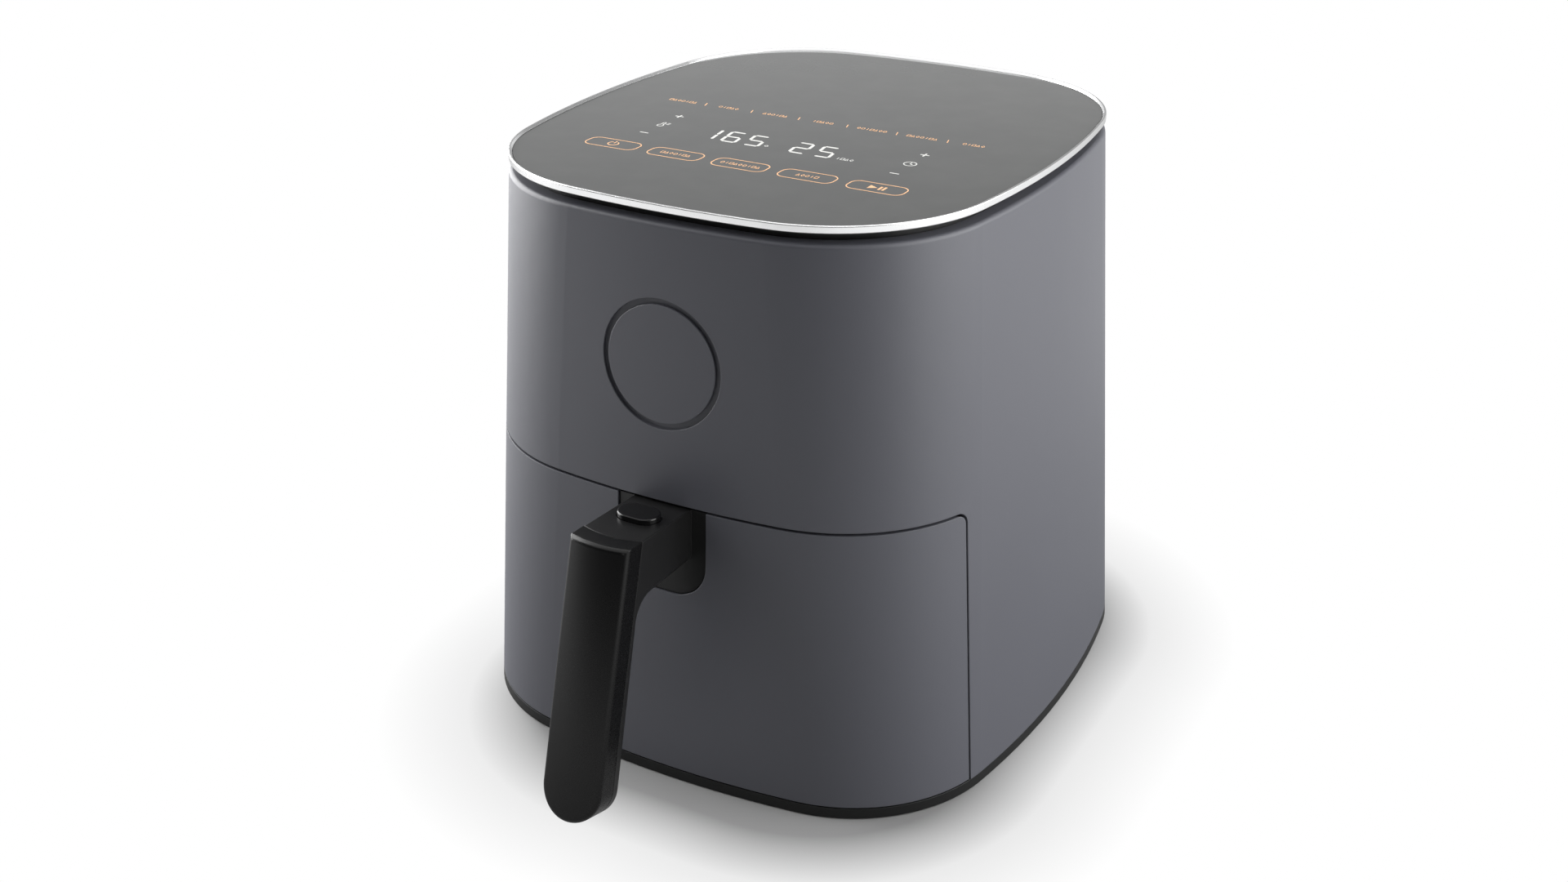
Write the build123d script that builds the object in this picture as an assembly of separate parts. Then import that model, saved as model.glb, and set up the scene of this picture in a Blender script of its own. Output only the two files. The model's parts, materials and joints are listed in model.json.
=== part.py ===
from build123d import *
import math
import os

# Countertop air fryer: a tapered housing on a dark base, a pull-out drawer that carries a
# lift-out basket, and a heater, fan and motor above the basket. Sizes are in millimetres,
# +Z is up, the drawer comes out towards -Y and the counter is at z = 0.

# Body outside
body_width_foot = 292.2      # at the underside of the base
body_width_lid = 252.0       # at the lid, taper_height further up
body_depth_foot = 311.2
body_depth_lid = 286.6
taper_height = 281.0
side_radius = 493.0          # bow of the four sides in plan
corner_radius = 80.0         # rounding of the four corners in plan
housing_wall = 3.0
housing_height = 281.0       # top edge of the housing above the counter
housing_edge_round = 2.0
fit_gap = 0.2                # between fixed neighbours
seat_gap = 0.3               # between neighbours that move or are dropped in
bore_gap = 0.05              # running clearance on a radius
overrun = 1.0                # how far a cut runs past the face it opens
screw_tip_gap = 1.0          # air beyond the end of a screw

# Base
foot_height = 4.0
foot_radius = 9.0
foot_x = 98.0
foot_y = 108.0
foot_plug_radius = 4.0
foot_round = 1.0
base_rim_low = 0.6           # lower edge of the rim above the counter
base_rim_high = 5.7
base_rim_width = 4.0
base_floor = 3.0
rail_x = 90.0
rail_width = 10.0
rail_height = 7.7
rail_length = 200.0
boss_y = 70.0
boss_inset = 10.0
boss_radius = 5.0
boss_height = 32.0
base_screw_radius = 1.6
base_screw_length = 20.0
screw_head_radius = 3.2
screw_head_height = 2.0

# Lid
flange_thickness = 3.0
flange_inset = 16.0
neck_inset = 7.0
neck_wall = 3.0
neck_height = 5.0
tray_inset = 17.5
tray_wall = 2.5
tray_depth = 15.0
trim_height = 3.5
trim_overhang = 0.3
trim_width = 1.6
trim_bevel = 0.9             # width of the slope from the trim's top down to the panel
trim_ledge = 1.0
trim_ledge_inset = 9.0
trim_round = 0.5
panel_recess = 1.1
board_thickness = 1.6
board_standoff = 3.5
standoff_radius = 3.5
control_board_width = 170.0
control_board_depth = 120.0
control_board_y = -32.0
display_width = 94.0
display_depth = 40.0
display_x = 5.0
display_y = -38.0

# Badge recess on the front
badge_share = 0.5053         # place between the drawer seam and the top edge
badge_radius = 28.0
badge_groove = 3.0
badge_depth = 1.8

# Drawer
seam_gap = 1.3
base_gap = 0.7               # between the drawer front and the base rim
seam_corner = 6.0
wrap_depth = 89.2            # from the middle to the back edge of the drawer front, at the seam
wrap_lean = 1.3              # that edge runs forward towards the base, in degrees
front_wall = 3.0
door_wall = 3.0
door_margin = 2.0
pan_inset = 22.0
pan_rim_inset = 19.0
pan_wall = 1.6
pan_round = 8.0
pan_top_height = 140.0
pan_headroom = 9.0           # from the pan rim up to the seam above the drawer
basket_inset = 29.0
basket_wall = 1.5
basket_rim_inset = 21.0
basket_round = 8.0
basket_floor_height = 27.0
basket_floor = 2.0
slot_length = 16.0
slot_width = 5.0
slot_pitch_x = 24.0
slot_pitch_y = 13.0
slot_columns = 7
slot_rows = 13
slot_area_radius = 92.0
pan_screw_x = 44.0
pan_screw_z = 46.0
pan_screw_radius = 1.5
pan_screw_length = 9.0

# Notch in the drawer front
notch_half_width = 23.9
notch_depth = 46.6
notch_corner = 17.5
notch_wall = 1.6
root_recess = 1.0
root_plate = 2.5
root_gap = 0.4

# Handle
handle_half_width = 15.6
handle_reach = 49.9
handle_lean = 15.5
grip_length = 131.5
grip_thickness = 14.8        # at the top of the grip
grip_thickness_low = 17.6    # at its lower end
grip_edge_round = 3.4
cover_thickness = 9.7
cover_wall = 2.4
cover_edge_round = 2.4
parting_gap = 0.5
crown_radius = 48.0
crown_height = 2.5
arm_drop = 1.2
arm_rise = 3.7
arm_height = 26.6
arm_roof = 3.0
arm_fillet = 12.0
arm_edge_round = 0.7
root_block_half = 14.0
root_block_top_gap = 1.0
handle_screw_radius = 1.4
handle_screw_length = 11.0
handle_screw_head = 3.0
handle_screw_spread = 62.0
handle_screw_start = 42.0
cover_boss_radius = 4.0
bracket_thickness = 1.8
bracket_screw_x = 9.5
bracket_screw_radius = 1.5
bracket_screw_length = 12.0

# Release button and latch
button_width = 21.0
button_depth = 14.0
button_proud = 3.0
button_travel = 3.0
button_back = 18.0           # from the drawer front to the middle of the button
button_flange = 1.6
button_flange_thick = 1.4
button_round = 0.9
button_rib = 2.0
latch_pin_radius = 2.0
latch_width = 8.0
latch_arm = 4.0
latch_boss = 4.4
latch_lever = 21.5
latch_pivot_rise = 2.5
latch_floor_gap = 1.2
latch_toe = 2.8
latch_boss_gap = 0.5
latch_pin_inset = 1.0
pocket_half = 5.5
catch_lip = 1.4
catch_gap = 1.0
catch_play = 0.8
catch_height = 2.6
spring_radius = 3.6
spring_wire = 0.9
spring_turns = 6

# Cooking chamber
bay_gap = 1.5
sheet = 1.5
roof_gap = 2.0
heater_opening = 100.0
dome_share = 0.65            # of the height left for the heater dome and the motor core
dome_top_radius = 92.0
dome_flange = 8.0
dome_hole_radius = 8.0
guard_radius = 106.0
guard_rings = 7
guard_bar = 2.0
guard_spokes = 6
heater_tube_radius = 3.5
heater_outer = 84.0
heater_inner = 62.0
heater_bend = 10.0
heater_start_angle = 20.0
heater_end_angle = 335.0
heater_rise = 15.0
heater_terminal = 8.0
clip_width = 6.0
clip_angles = (95.0, 178.0, 262.0)

# Fan and motor
shaft_radius = 4.0
convection_fan_radius = 55.0
convection_fan_depth = 13.0
convection_blades = 10
fan_plate = 1.2
hub_radius = 9.0
fan_roof_gap = 3.0
fan_nut_height = 4.0
fan_nut_width = 13.0
shaft_tip = 2.0
cooling_fan_radius = 54.0
cooling_fan_depth = 10.0
cooling_blades = 7
cooling_blade_angle = 30.0
cooling_fan_gap = 3.5
motor_gap = 7.0
motor_plate = 2.5
leg_x = 60.0
leg_y = 22.0
leg_radius = 4.0
core_width = 64.0
core_front = 28.0
core_back = 56.0
core_leg = 10.0
window_half = 18.0
window_front = 26.0
rotor_radius = 18.0
rotor_air_gap = 0.4
coil_half = 17.0
coil_wall = 8.0
bush_radius = 8.0
bush_flange = 2.0
bush_flange_height = 3.0
bridge_height = 8.0
bridge_half_depth = 12.0
bridge_leg = 8.0
bush_rise = 1.0
motor_headroom = 6.5         # from the shaft end up to the lid tray

# Sensors, boards and the back
cutout_radius = 9.0
cutout_height = 6.5
cutout_place = 76.0
probe_radius = 2.2
probe_depth = 22.0
probe_angle = 120.0
power_board_width = 100.0
power_board_height = 56.0
power_board_y = 125.0
board_foot = 17.5
relay_rise = 10.0
relay_depth = 10.5
switch_height = 60.0
switch_half_width = 10.0
switch_half_height = 6.0
switch_depth = 10.0
plunger_radius = 2.0
vent_half_width = 48.0
vent_rise = 17.5             # from the roof of the bay up to the vent
vent_height = 48.0
vent_slot = 4.0
vent_pitch = 8.0
gland_x = 40.0
gland_height = 40.0
gland_radius = 7.7
gland_flange_radius = 10.5
gland_flange = 2.4
gland_bore = 3.8
gland_length = 14.0

# Heights that follow from the sizes above
seam_height = pan_top_height + pan_headroom
badge_height = seam_height + badge_share * (housing_height - seam_height)
base_z = foot_height
base_floor_z = base_z + base_floor
base_top_z = base_rim_high
neck_top_z = housing_height + neck_height
trim_top_z = neck_top_z + trim_height
panel_low_z = neck_top_z + trim_ledge
panel_top_z = trim_top_z - panel_recess
tray_low_z = housing_height - tray_depth
tray_floor_z = tray_low_z + tray_wall
rail_top_z = base_floor_z + rail_height
pan_low_z = rail_top_z + seat_gap
drawer_low_z = base_top_z + base_gap
drawer_top_z = seam_height - seam_gap
roof_low_z = seam_height + roof_gap
roof_z = roof_low_z + sheet
vent_low = roof_z + vent_rise
motor_top = bridge_height + motor_plate + bush_flange_height + shaft_tip + motor_headroom
motor_foot = sheet + cooling_fan_gap + cooling_fan_depth + motor_gap + motor_plate
flexible_height = tray_low_z - roof_z - motor_foot - motor_top
dome_height = dome_share * flexible_height
core_height = flexible_height - dome_height
dome_top_z = roof_z + dome_height
dome_roof_z = dome_top_z + sheet


# Plan outline: four bowed sides joined by tangent corner arcs, moved in by inset
def outline(half_w, half_d, inset):
    big = side_radius - inset
    small = corner_radius - inset
    side_x = half_w - side_radius
    end_y = half_d - side_radius
    reach = side_radius - corner_radius
    span = math.hypot(side_x, end_y)
    lift = math.sqrt(reach ** 2 - span ** 2 / 4)
    corner = Vector(side_x / 2 - end_y * lift / span, end_y / 2 - side_x * lift / span)
    side_way = (corner - Vector(side_x, 0)) * (1 / reach)
    end_way = (corner - Vector(0, end_y)) * (1 / reach)
    side_point = Vector(side_x, 0) + side_way * big
    middle = corner + (side_way + end_way).normalized() * small
    end_point = Vector(0, end_y) + end_way * big

    def turned(point, sx, sy):
        return Vector(point.X * sx, point.Y * sy)

    edges = []
    for sx, sy in ((1, 1), (-1, 1), (-1, -1), (1, -1)):
        ends = [turned(side_point, sx, sy), turned(middle, sx, sy), turned(end_point, sx, sy)]
        if sx * sy < 0:
            ends.reverse()
        edges.append(ThreePointArc(*ends))
    for way in (1, -1):
        end_middle = Vector(0, way * (half_d - inset))
        side_middle = Vector(way * (half_w - inset), 0)
        edges.append(ThreePointArc(turned(end_point, way, way), end_middle, turned(end_point, -way, way)))
        edges.append(ThreePointArc(turned(side_point, way, -way), side_middle, turned(side_point, way, way)))
    return Face(Wire(edges))


def half_width(z):
    return (body_width_foot + (body_width_lid - body_width_foot) * (z - base_z) / taper_height) / 2


def half_depth(z):
    return (body_depth_foot + (body_depth_lid - body_depth_foot) * (z - base_z) / taper_height) / 2


# Where the bowed side and the bowed end lie, for points near the middle of a side
def side_x_at(y, z):
    return half_width(z) - side_radius + math.sqrt(side_radius ** 2 - y ** 2)


def end_y_at(x, z):
    return half_depth(z) - side_radius + math.sqrt(side_radius ** 2 - x ** 2)


# Tapered block between two heights, moved in by inset all round
def tapered(low, high, inset):
    lower = Pos(0, 0, low) * outline(half_width(low), half_depth(low), inset)
    upper = Pos(0, 0, high) * outline(half_width(high), half_depth(high), inset)
    return loft([lower, upper], ruled=True)


# Upright block with the outline that the body has at one height
def upright(low, high, inset, level):
    plan = outline(half_width(level), half_depth(level), inset)
    return extrude(Pos(0, 0, low) * plan, high - low)


def slab(xs, ys, zs):
    size = Box(xs[1] - xs[0], ys[1] - ys[0], zs[1] - zs[0])
    return Pos((xs[0] + xs[1]) / 2, (ys[0] + ys[1]) / 2, (zs[0] + zs[1]) / 2) * size


def rod(x, y, low, high, radius):
    return Pos(x, y, (low + high) / 2) * Cylinder(radius, high - low)


def rod_x(y, z, low, high, radius):
    return Pos((low + high) / 2, y, z) * Rot(0, 90, 0) * Cylinder(radius, high - low)


def rod_y(x, z, low, high, radius):
    return Pos(x, (low + high) / 2, z) * Rot(90, 0, 0) * Cylinder(radius, high - low)


# Everything in front of a leaning edge between two heights, with its upper back corner rounded
def front_region(back_y, low, high, radius):
    far_y = back_y - body_depth_foot
    slope = math.tan(math.radians(wrap_lean))
    low_y = back_y - (seam_height - low) * slope
    high_y = back_y - (seam_height - high) * slope
    face = make_face(Polyline((far_y, low), (low_y, low), (high_y, high), (far_y, high), close=True))
    corner = face.vertices().sort_by_distance((high_y, high, 0))[0]
    face = fillet(corner, radius)
    return extrude(Plane.YZ * face, body_width_foot, both=True)


# Upright U seen from the front, between two depths
def notch_region(half, low, high, radius, front_y, back_y):
    face = Pos(0, (low + high) / 2) * Rectangle(2 * half, high - low)
    corners = face.vertices().sort_by(Axis.Y)[:2]
    face = fillet(corners, radius)
    plane = Plane((0, back_y, 0), x_dir=(1, 0, 0), z_dir=(0, -1, 0))
    return extrude(plane * face, back_y - front_y)


def mirrored_pairs(x, y):
    return [(sx * x, sy * y) for sx in (1, -1) for sy in (1, -1)]


nodes = {}

# Housing shell
drawer_back_y = -wrap_depth
boss_x = side_x_at(boss_y, base_top_z) - boss_inset
gland_seat_y = end_y_at(gland_x, gland_height) - gland_flange


def make_badge_pocket(radius, depth):
    ring = tapered(base_top_z, housing_height, 0) - tapered(base_top_z, housing_height, depth)
    return ring & rod_y(0, badge_height, -body_depth_foot, 0, radius)


def make_vent_region(gap):
    low = vent_low + gap
    high = vent_low + vent_height - gap
    return slab((gap - vent_half_width, vent_half_width - gap), (0, body_depth_foot), (low, high))


def make_screw_bosses():
    bosses = []
    web_high = base_floor_z + boss_height
    for x, y in mirrored_pairs(boss_x, boss_y):
        post = rod(x, y, base_floor_z, web_high, boss_radius)
        wall_x = math.copysign(body_width_foot / 2, x)
        xs = sorted((x, wall_x))
        post += slab(xs, (y - boss_radius / 2, y + boss_radius / 2), (base_floor_z, web_high))
        post -= rod(x, y, base_z, base_floor_z + base_screw_length, base_screw_radius + bore_gap)
        bosses.append(post & tapered(base_z, web_high + housing_wall, housing_wall / 2))
    return bosses


def make_housing():
    shell = tapered(base_top_z, housing_height, 0)
    shell = fillet(shell.edges().group_by(Axis.Z)[-1], housing_edge_round)
    shell -= tapered(base_z, housing_height - flange_thickness, housing_wall)
    flange_low = housing_height - 2 * flange_thickness
    shell -= upright(flange_low, housing_height + overrun, flange_inset, housing_height)
    shell -= front_region(drawer_back_y, 0, seam_height, seam_corner)
    shell -= make_badge_pocket(badge_radius + badge_groove, badge_depth)
    shell -= make_vent_region(0)
    shell -= rod_y(gland_x, gland_height, 0, body_depth_foot, gland_radius + fit_gap)
    shell -= rod_y(gland_x, gland_height, gland_seat_y, body_depth_foot, gland_flange_radius + fit_gap)
    for boss in make_screw_bosses():
        shell += boss
    return shell


nodes["outer_housing"] = make_housing()
nodes["badge_disc"] = make_badge_pocket(badge_radius, badge_depth - fit_gap)


# Back of the housing: louvred vent and the cord gland
def make_vent_cover():
    plate = tapered(base_top_z, housing_height, fit_gap)
    plate -= tapered(base_z, housing_height + overrun, housing_wall)
    plate &= make_vent_region(seat_gap)
    slot_half = vent_half_width - 3 * vent_slot / 2
    count = int((vent_height - vent_pitch) / vent_pitch)
    start = vent_low + (vent_height - (count - 1) * vent_pitch) / 2
    for i in range(count):
        z = start + i * vent_pitch
        plate -= slab((-slot_half, slot_half), (0, body_depth_foot), (z - vent_slot / 2, z + vent_slot / 2))
    return plate


def make_cord_gland():
    inner_y = gland_seat_y + gland_flange - gland_length
    gland = rod_y(gland_x, gland_height, inner_y, gland_seat_y, gland_radius)
    gland += rod_y(gland_x, gland_height, gland_seat_y, gland_seat_y + gland_flange, gland_flange_radius)
    return gland - rod_y(gland_x, gland_height, 0, body_depth_foot, gland_bore)


nodes["rear_vent_cover"] = make_vent_cover()
nodes["cord_gland"] = make_cord_gland()


# Base pan with its feet, screws and the rails that the drawer runs on
def make_base_pan():
    pan = tapered(base_rim_low, base_top_z, 0)
    pan -= tapered(base_rim_low - overrun, base_top_z + overrun, base_rim_width)
    pan += tapered(base_z, base_floor_z, housing_wall + seat_gap)
    for x, y in mirrored_pairs(foot_x, foot_y):
        pan -= rod(x, y, 0, base_floor_z, foot_plug_radius + bore_gap)
    for x, y in mirrored_pairs(boss_x, boss_y):
        pan -= rod(x, y, 0, base_floor_z, base_screw_radius + bore_gap)
    return pan


def make_foot(x, y):
    pad = rod(x, y, 0, foot_height, foot_radius)
    pad = fillet(pad.edges().group_by(Axis.Z)[0], foot_round)
    return pad + rod(x, y, foot_height, base_floor_z, foot_plug_radius)


def make_base_screw(x, y):
    head = rod(x, y, base_z - screw_head_height, base_z, screw_head_radius)
    return head + rod(x, y, base_z, base_z + base_screw_length, base_screw_radius)


def make_rails():
    rails = []
    for side in (1, -1):
        xs = (side * rail_x - rail_width / 2, side * rail_x + rail_width / 2)
        rails.append(slab(xs, (-rail_length / 2, rail_length / 2), (base_floor_z, rail_top_z)))
    return rails


nodes["base_pan"] = make_base_pan()
nodes["rubber_feet"] = [make_foot(x, y) for x, y in mirrored_pairs(foot_x, foot_y)]
nodes["base_screws"] = [make_base_screw(x, y) for x, y in mirrored_pairs(boss_x, boss_y)]
nodes["drawer_rails"] = make_rails()


# Lid: tray with a recessed neck, bright trim ring, touch panel and its board
def lid_block(low, high, inset):
    return upright(low, high, inset, neck_top_z)


def lid_plan(z, inset):
    return Pos(0, 0, z) * outline(half_width(neck_top_z), half_depth(neck_top_z), inset)


# Standoff places of a board, one in each corner
def board_corners(width, depth):
    return mirrored_pairs(width / 2 - 2 * standoff_radius, depth / 2 - 2 * standoff_radius)


def make_lid_tray():
    tray = lid_block(housing_height, neck_top_z, neck_inset)
    tray += lid_block(tray_low_z, housing_height, tray_inset)
    tray -= lid_block(tray_floor_z, neck_top_z + overrun, tray_inset + tray_wall)
    tray -= lid_block(housing_height + tray_wall, neck_top_z + overrun, neck_inset + neck_wall)
    for x, y in board_corners(control_board_width, control_board_depth):
        tray += rod(x, control_board_y + y, tray_floor_z, tray_floor_z + board_standoff, standoff_radius)
    return tray


def make_trim_ring():
    ring = lid_block(neck_top_z, trim_top_z, -trim_overhang)
    ring = fillet(ring.edges().group_by(Axis.Z)[-1] + ring.edges().group_by(Axis.Z)[0], trim_round)
    ring -= lid_block(panel_low_z, trim_top_z + overrun, trim_width)
    slope = [lid_plan(panel_top_z, trim_width), lid_plan(trim_top_z, trim_width - trim_bevel)]
    ring -= loft(slope, ruled=True)
    return ring - lid_block(neck_top_z - overrun, trim_top_z + overrun, trim_ledge_inset)


def make_control_board():
    low = tray_floor_z + board_standoff
    xs = (-control_board_width / 2, control_board_width / 2)
    ys = (control_board_y - control_board_depth / 2, control_board_y + control_board_depth / 2)
    return slab(xs, ys, (low, low + board_thickness))


def make_display():
    low = tray_floor_z + board_standoff + board_thickness
    xs = (display_x - display_width / 2, display_x + display_width / 2)
    ys = (display_y - display_depth / 2, display_y + display_depth / 2)
    return slab(xs, ys, (low, panel_low_z - seat_gap))


nodes["lid_tray"] = make_lid_tray()
nodes["top_trim_ring"] = make_trim_ring()
nodes["top_panel"] = lid_block(panel_low_z, panel_top_z, trim_width + fit_gap)
nodes["control_board"] = make_control_board()
nodes["display_module"] = make_display()

# Drawer: front shell, hollow door behind it, pan and basket
pan_rim_low_z = pan_top_height - pan_wall
front_y = -half_depth(seam_height)
notch_floor_z = seam_height - notch_depth
pan_front_y = front_y + pan_inset
basket_front_y = front_y + basket_inset


def pan_block(low, high, inset):
    return upright(low, high, inset, seam_height)


def make_drawer_front():
    shell = tapered(drawer_low_z, drawer_top_z, 0) - tapered(base_z, seam_height, front_wall)
    shell &= front_region(drawer_back_y - seam_gap, drawer_low_z, drawer_top_z, seam_corner - seam_gap)
    return shell - notch_region(notch_half_width, notch_floor_z, seam_height, notch_corner, 2 * front_y, 0)


def pan_space(low, high, grow):
    space = pan_block(low, high, pan_inset - grow)
    return space + pan_block(pan_rim_low_z - grow, high, pan_rim_inset - grow)


def pan_screw_places():
    return [(sx * pan_screw_x, pan_screw_z) for sx in (1, -1)]


def make_front_backing():
    low = drawer_low_z + door_margin
    high = drawer_top_z - door_margin
    back_y = drawer_back_y - seam_gap
    corner = seam_corner - seam_gap
    door = tapered(low, high, front_wall + fit_gap)
    door &= front_region(back_y, low, high, corner)
    door -= pan_space(low - overrun, high + overrun, fit_gap)
    hollow = tapered(low + door_wall, high - door_wall, front_wall - overrun)
    hollow &= front_region(back_y - door_wall, low + door_wall, high - door_wall, corner)
    hollow -= pan_space(low, high, fit_gap + door_wall)
    for x, z in pan_screw_places():
        hollow -= rod_y(x, z, pan_front_y - pan_screw_length - door_wall, pan_front_y, 2 * pan_screw_radius)
    door -= hollow
    door -= notch_region(notch_half_width, notch_floor_z, seam_height, notch_corner, 2 * front_y, 0)
    for x, z in pan_screw_places():
        door -= rod_y(x, z, pan_front_y - pan_screw_length, 0, pan_screw_radius + bore_gap)
    return door


def make_pan():
    pan = pan_block(pan_low_z, pan_top_height, pan_inset)
    pan = fillet(pan.edges().group_by(Axis.Z)[0], pan_round)
    pan += pan_block(pan_rim_low_z, pan_top_height, pan_rim_inset)
    cavity = pan_block(pan_low_z + pan_wall, pan_top_height + overrun, pan_inset + pan_wall)
    pan -= fillet(cavity.edges().group_by(Axis.Z)[0], pan_round - pan_wall)
    half = notch_half_width + fit_gap
    pan -= notch_region(half, notch_floor_z - fit_gap, seam_height, notch_corner, 2 * front_y, front_y / 2)
    for x, z in pan_screw_places():
        pan -= rod_y(x, z, 2 * front_y, 0, pan_screw_radius + bore_gap)
    return pan


def make_pan_screw(x, z):
    wall_y = -end_y_at(abs(x) + screw_head_radius, seam_height) + pan_inset + pan_wall
    head = rod_y(x, z, wall_y + fit_gap, wall_y + screw_head_height, screw_head_radius)
    tip_y = pan_front_y - pan_screw_length + screw_tip_gap
    return head + rod_y(x, z, tip_y, wall_y + screw_head_height, pan_screw_radius)


def basket_slots():
    places = []
    for column in range(slot_columns):
        for row in range(slot_rows):
            x = (column - (slot_columns - 1) / 2) * slot_pitch_x
            y = (row - (slot_rows - 1) / 2) * slot_pitch_y
            if math.hypot(x, y) < slot_area_radius:
                places.append((x, y))
    return places


def make_basket():
    top_z = pan_top_height + basket_wall
    basket = pan_block(basket_floor_height, top_z, basket_inset)
    basket = fillet(basket.edges().group_by(Axis.Z)[0], basket_round)
    basket += pan_block(pan_top_height, top_z, basket_rim_inset)
    cavity = pan_block(basket_floor_height + basket_floor, top_z + overrun, basket_inset + basket_wall)
    basket -= fillet(cavity.edges().group_by(Axis.Z)[0], basket_round - basket_wall)
    slot = Plane.XY.offset(basket_floor_height - overrun) * SlotOverall(slot_length, slot_width)
    slot = extrude(slot, basket_floor + 2 * overrun)
    basket -= [Pos(x, y, 0) * slot for x, y in basket_slots()]
    for side in (1, -1):
        x = side * bracket_screw_x
        basket -= rod_y(x, bracket_screw_z, 2 * front_y, 0, bracket_screw_radius + bore_gap)
    return basket


# Handle places, as (y, z): the top edge of the arm, the grip's front edge and its lean
root_back_y = front_y + root_recess + root_plate
liner_front_y = root_back_y + seat_gap
arm_root_z = seam_height - arm_drop
arm_low_z = arm_root_z - arm_height
grip_front_y = front_y - handle_reach
grip_top_z = arm_root_z + handle_reach * math.tan(math.radians(arm_rise))
lean_sin = math.sin(math.radians(handle_lean))
lean_cos = math.cos(math.radians(handle_lean))
grip_plane = Plane((0, grip_front_y, grip_top_z), x_dir=(1, 0, 0), z_dir=(0, -lean_cos, lean_sin))
bracket_front_y = basket_front_y - bracket_thickness - fit_gap
block_top_z = pan_top_height - root_block_top_gap
liner_half = notch_half_width - fit_gap
liner_floor_z = notch_floor_z + fit_gap + notch_wall
liner_inner_half = liner_half - notch_wall
liner_corner = notch_corner - fit_gap - notch_wall
block_over_corner = max(0, root_block_half - liner_inner_half + liner_corner)
corner_rise = liner_corner - math.sqrt(liner_corner ** 2 - block_over_corner ** 2)
block_low_z = liner_floor_z + corner_rise + 2 * root_gap
bracket_screw_z = (block_top_z + block_low_z) / 2
liner_back_y = front_y + basket_rim_inset - seat_gap

# Latch and button places
button_y = front_y - button_back
button_top_z = arm_root_z + button_back * math.tan(math.radians(arm_rise)) + button_proud
pocket_roof_z = arm_root_z - arm_roof
pocket_floor_z = arm_low_z + arm_roof
flange_high_z = pocket_roof_z - seat_gap
flange_low_z = flange_high_z - button_flange_thick
rib_y = button_y + button_depth / 2 + button_flange + button_rib / 2
pivot_y = rib_y + latch_lever
pivot_z = pocket_floor_z + latch_boss + latch_pivot_rise
latch_low_z = liner_floor_z + latch_floor_gap
toe_high_z = latch_low_z + latch_toe
arm_front_y = pivot_y - latch_arm / 2
arm_back_y = pivot_y + latch_arm / 2
lip_back_y = arm_front_y - catch_gap
lip_front_y = lip_back_y - catch_lip
lever_top_z = pivot_z + latch_arm / 2
latch_angle = button_travel / latch_lever
swing = (pivot_z - latch_low_z) * math.sin(latch_angle)
pocket_back_y = arm_back_y + swing + latch_floor_gap
pocket_front_y = button_y - button_depth / 2 - button_flange - catch_gap


# Rounded-end grip outline swept along the grip's own normal between two offsets
def grip_block(inset, low, high):
    half = handle_half_width - inset
    length = grip_length - inset
    straight = length - half
    body = Pos(0, -straight / 2 + grip_length / 2) * Rectangle(2 * half, straight + grip_length)
    plan = body + Pos(0, -straight) * Circle(half)
    return extrude(grip_plane.offset(low) * plan, high - low)


# Barrel along the grip that gives its front and its parting face their bow
def grip_barrel(offset):
    centre = grip_plane.offset(crown_height - crown_radius)
    upright_axis = Plane(centre.origin, x_dir=centre.x_dir, z_dir=centre.y_dir)
    return upright_axis * Cylinder(crown_radius - offset, 4 * grip_length)


# Everything above the sloping top of the arm
def above_arm():
    top = Plane((0, front_y, arm_root_z), x_dir=(1, 0, 0), z_dir=(0, 0, 1)).rotated((-arm_rise, 0, 0))
    return extrude(top * Rectangle(4 * handle_half_width, 4 * grip_length), grip_length)


# Thickness of the grip at a distance from its top
def grip_depth_at(along):
    return grip_thickness + (grip_thickness_low - grip_thickness) * along / grip_length


def handle_screw_planes():
    places = []
    for i in range(2):
        place = handle_screw_start + i * handle_screw_spread
        origin = grip_plane.from_local_coords((0, -place, -grip_depth_at(place)))
        places.append(Plane(origin, x_dir=(1, 0, 0), z_dir=grip_plane.z_dir))
    return places


def screw_along(plane, low, high, radius):
    return plane.offset(low) * Pos(0, 0, (high - low) / 2) * Cylinder(radius, high - low)


def make_handle_front_cover():
    cover = grip_block(0, -grip_thickness, 2 * crown_height) & grip_barrel(0)
    cover -= above_arm()
    front_face = cover.faces().sort_by(Axis(grip_plane.origin, grip_plane.z_dir))[-1]
    cover = fillet(front_face.edges(), cover_edge_round)
    pocket = grip_block(cover_wall, -2 * grip_thickness, 2 * crown_height) & grip_barrel(cover_wall)
    pocket -= Pos(0, 0, -cover_wall) * above_arm()
    for plane in handle_screw_planes():
        pocket -= screw_along(plane, 0, grip_thickness_low + crown_height, cover_boss_radius)
    cover -= pocket
    cover -= grip_barrel(cover_thickness)
    for plane in handle_screw_planes():
        tip = screw_head_height + handle_screw_length
        cover -= screw_along(plane, 0, tip, handle_screw_radius + bore_gap)
    return cover


nodes["drawer_front"] = make_drawer_front()
nodes["front_backing"] = make_front_backing()
nodes["drawer_pan"] = make_pan()
nodes["pan_screws"] = [make_pan_screw(x, z) for x, z in pan_screw_places()]
nodes["cooking_basket"] = make_basket()


# Handle: rear shell with the arm and the root that passes through the notch
def arm_profile():
    def on_grip(along, out):
        point = grip_plane.from_local_coords((0, along, out))
        return (point.Y, point.Z)

    back_top = on_grip(0, -grip_thickness)
    back_low = on_grip(-grip_length, -grip_thickness_low)
    share = (back_top[1] - arm_low_z) / (back_top[1] - back_low[1])
    inner = (back_top[0] + (back_low[0] - back_top[0]) * share, arm_low_z)
    points = [
        (root_back_y, arm_low_z),
        (root_back_y, seam_height + grip_thickness),
        on_grip(grip_thickness, crown_height),
        on_grip(-grip_length, crown_height),
        back_low,
        inner,
    ]
    face = make_face(Polyline(*points, close=True))
    corner = face.vertices().sort_by_distance((inner[0], inner[1], 0))[0]
    return fillet(corner, arm_fillet)


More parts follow.
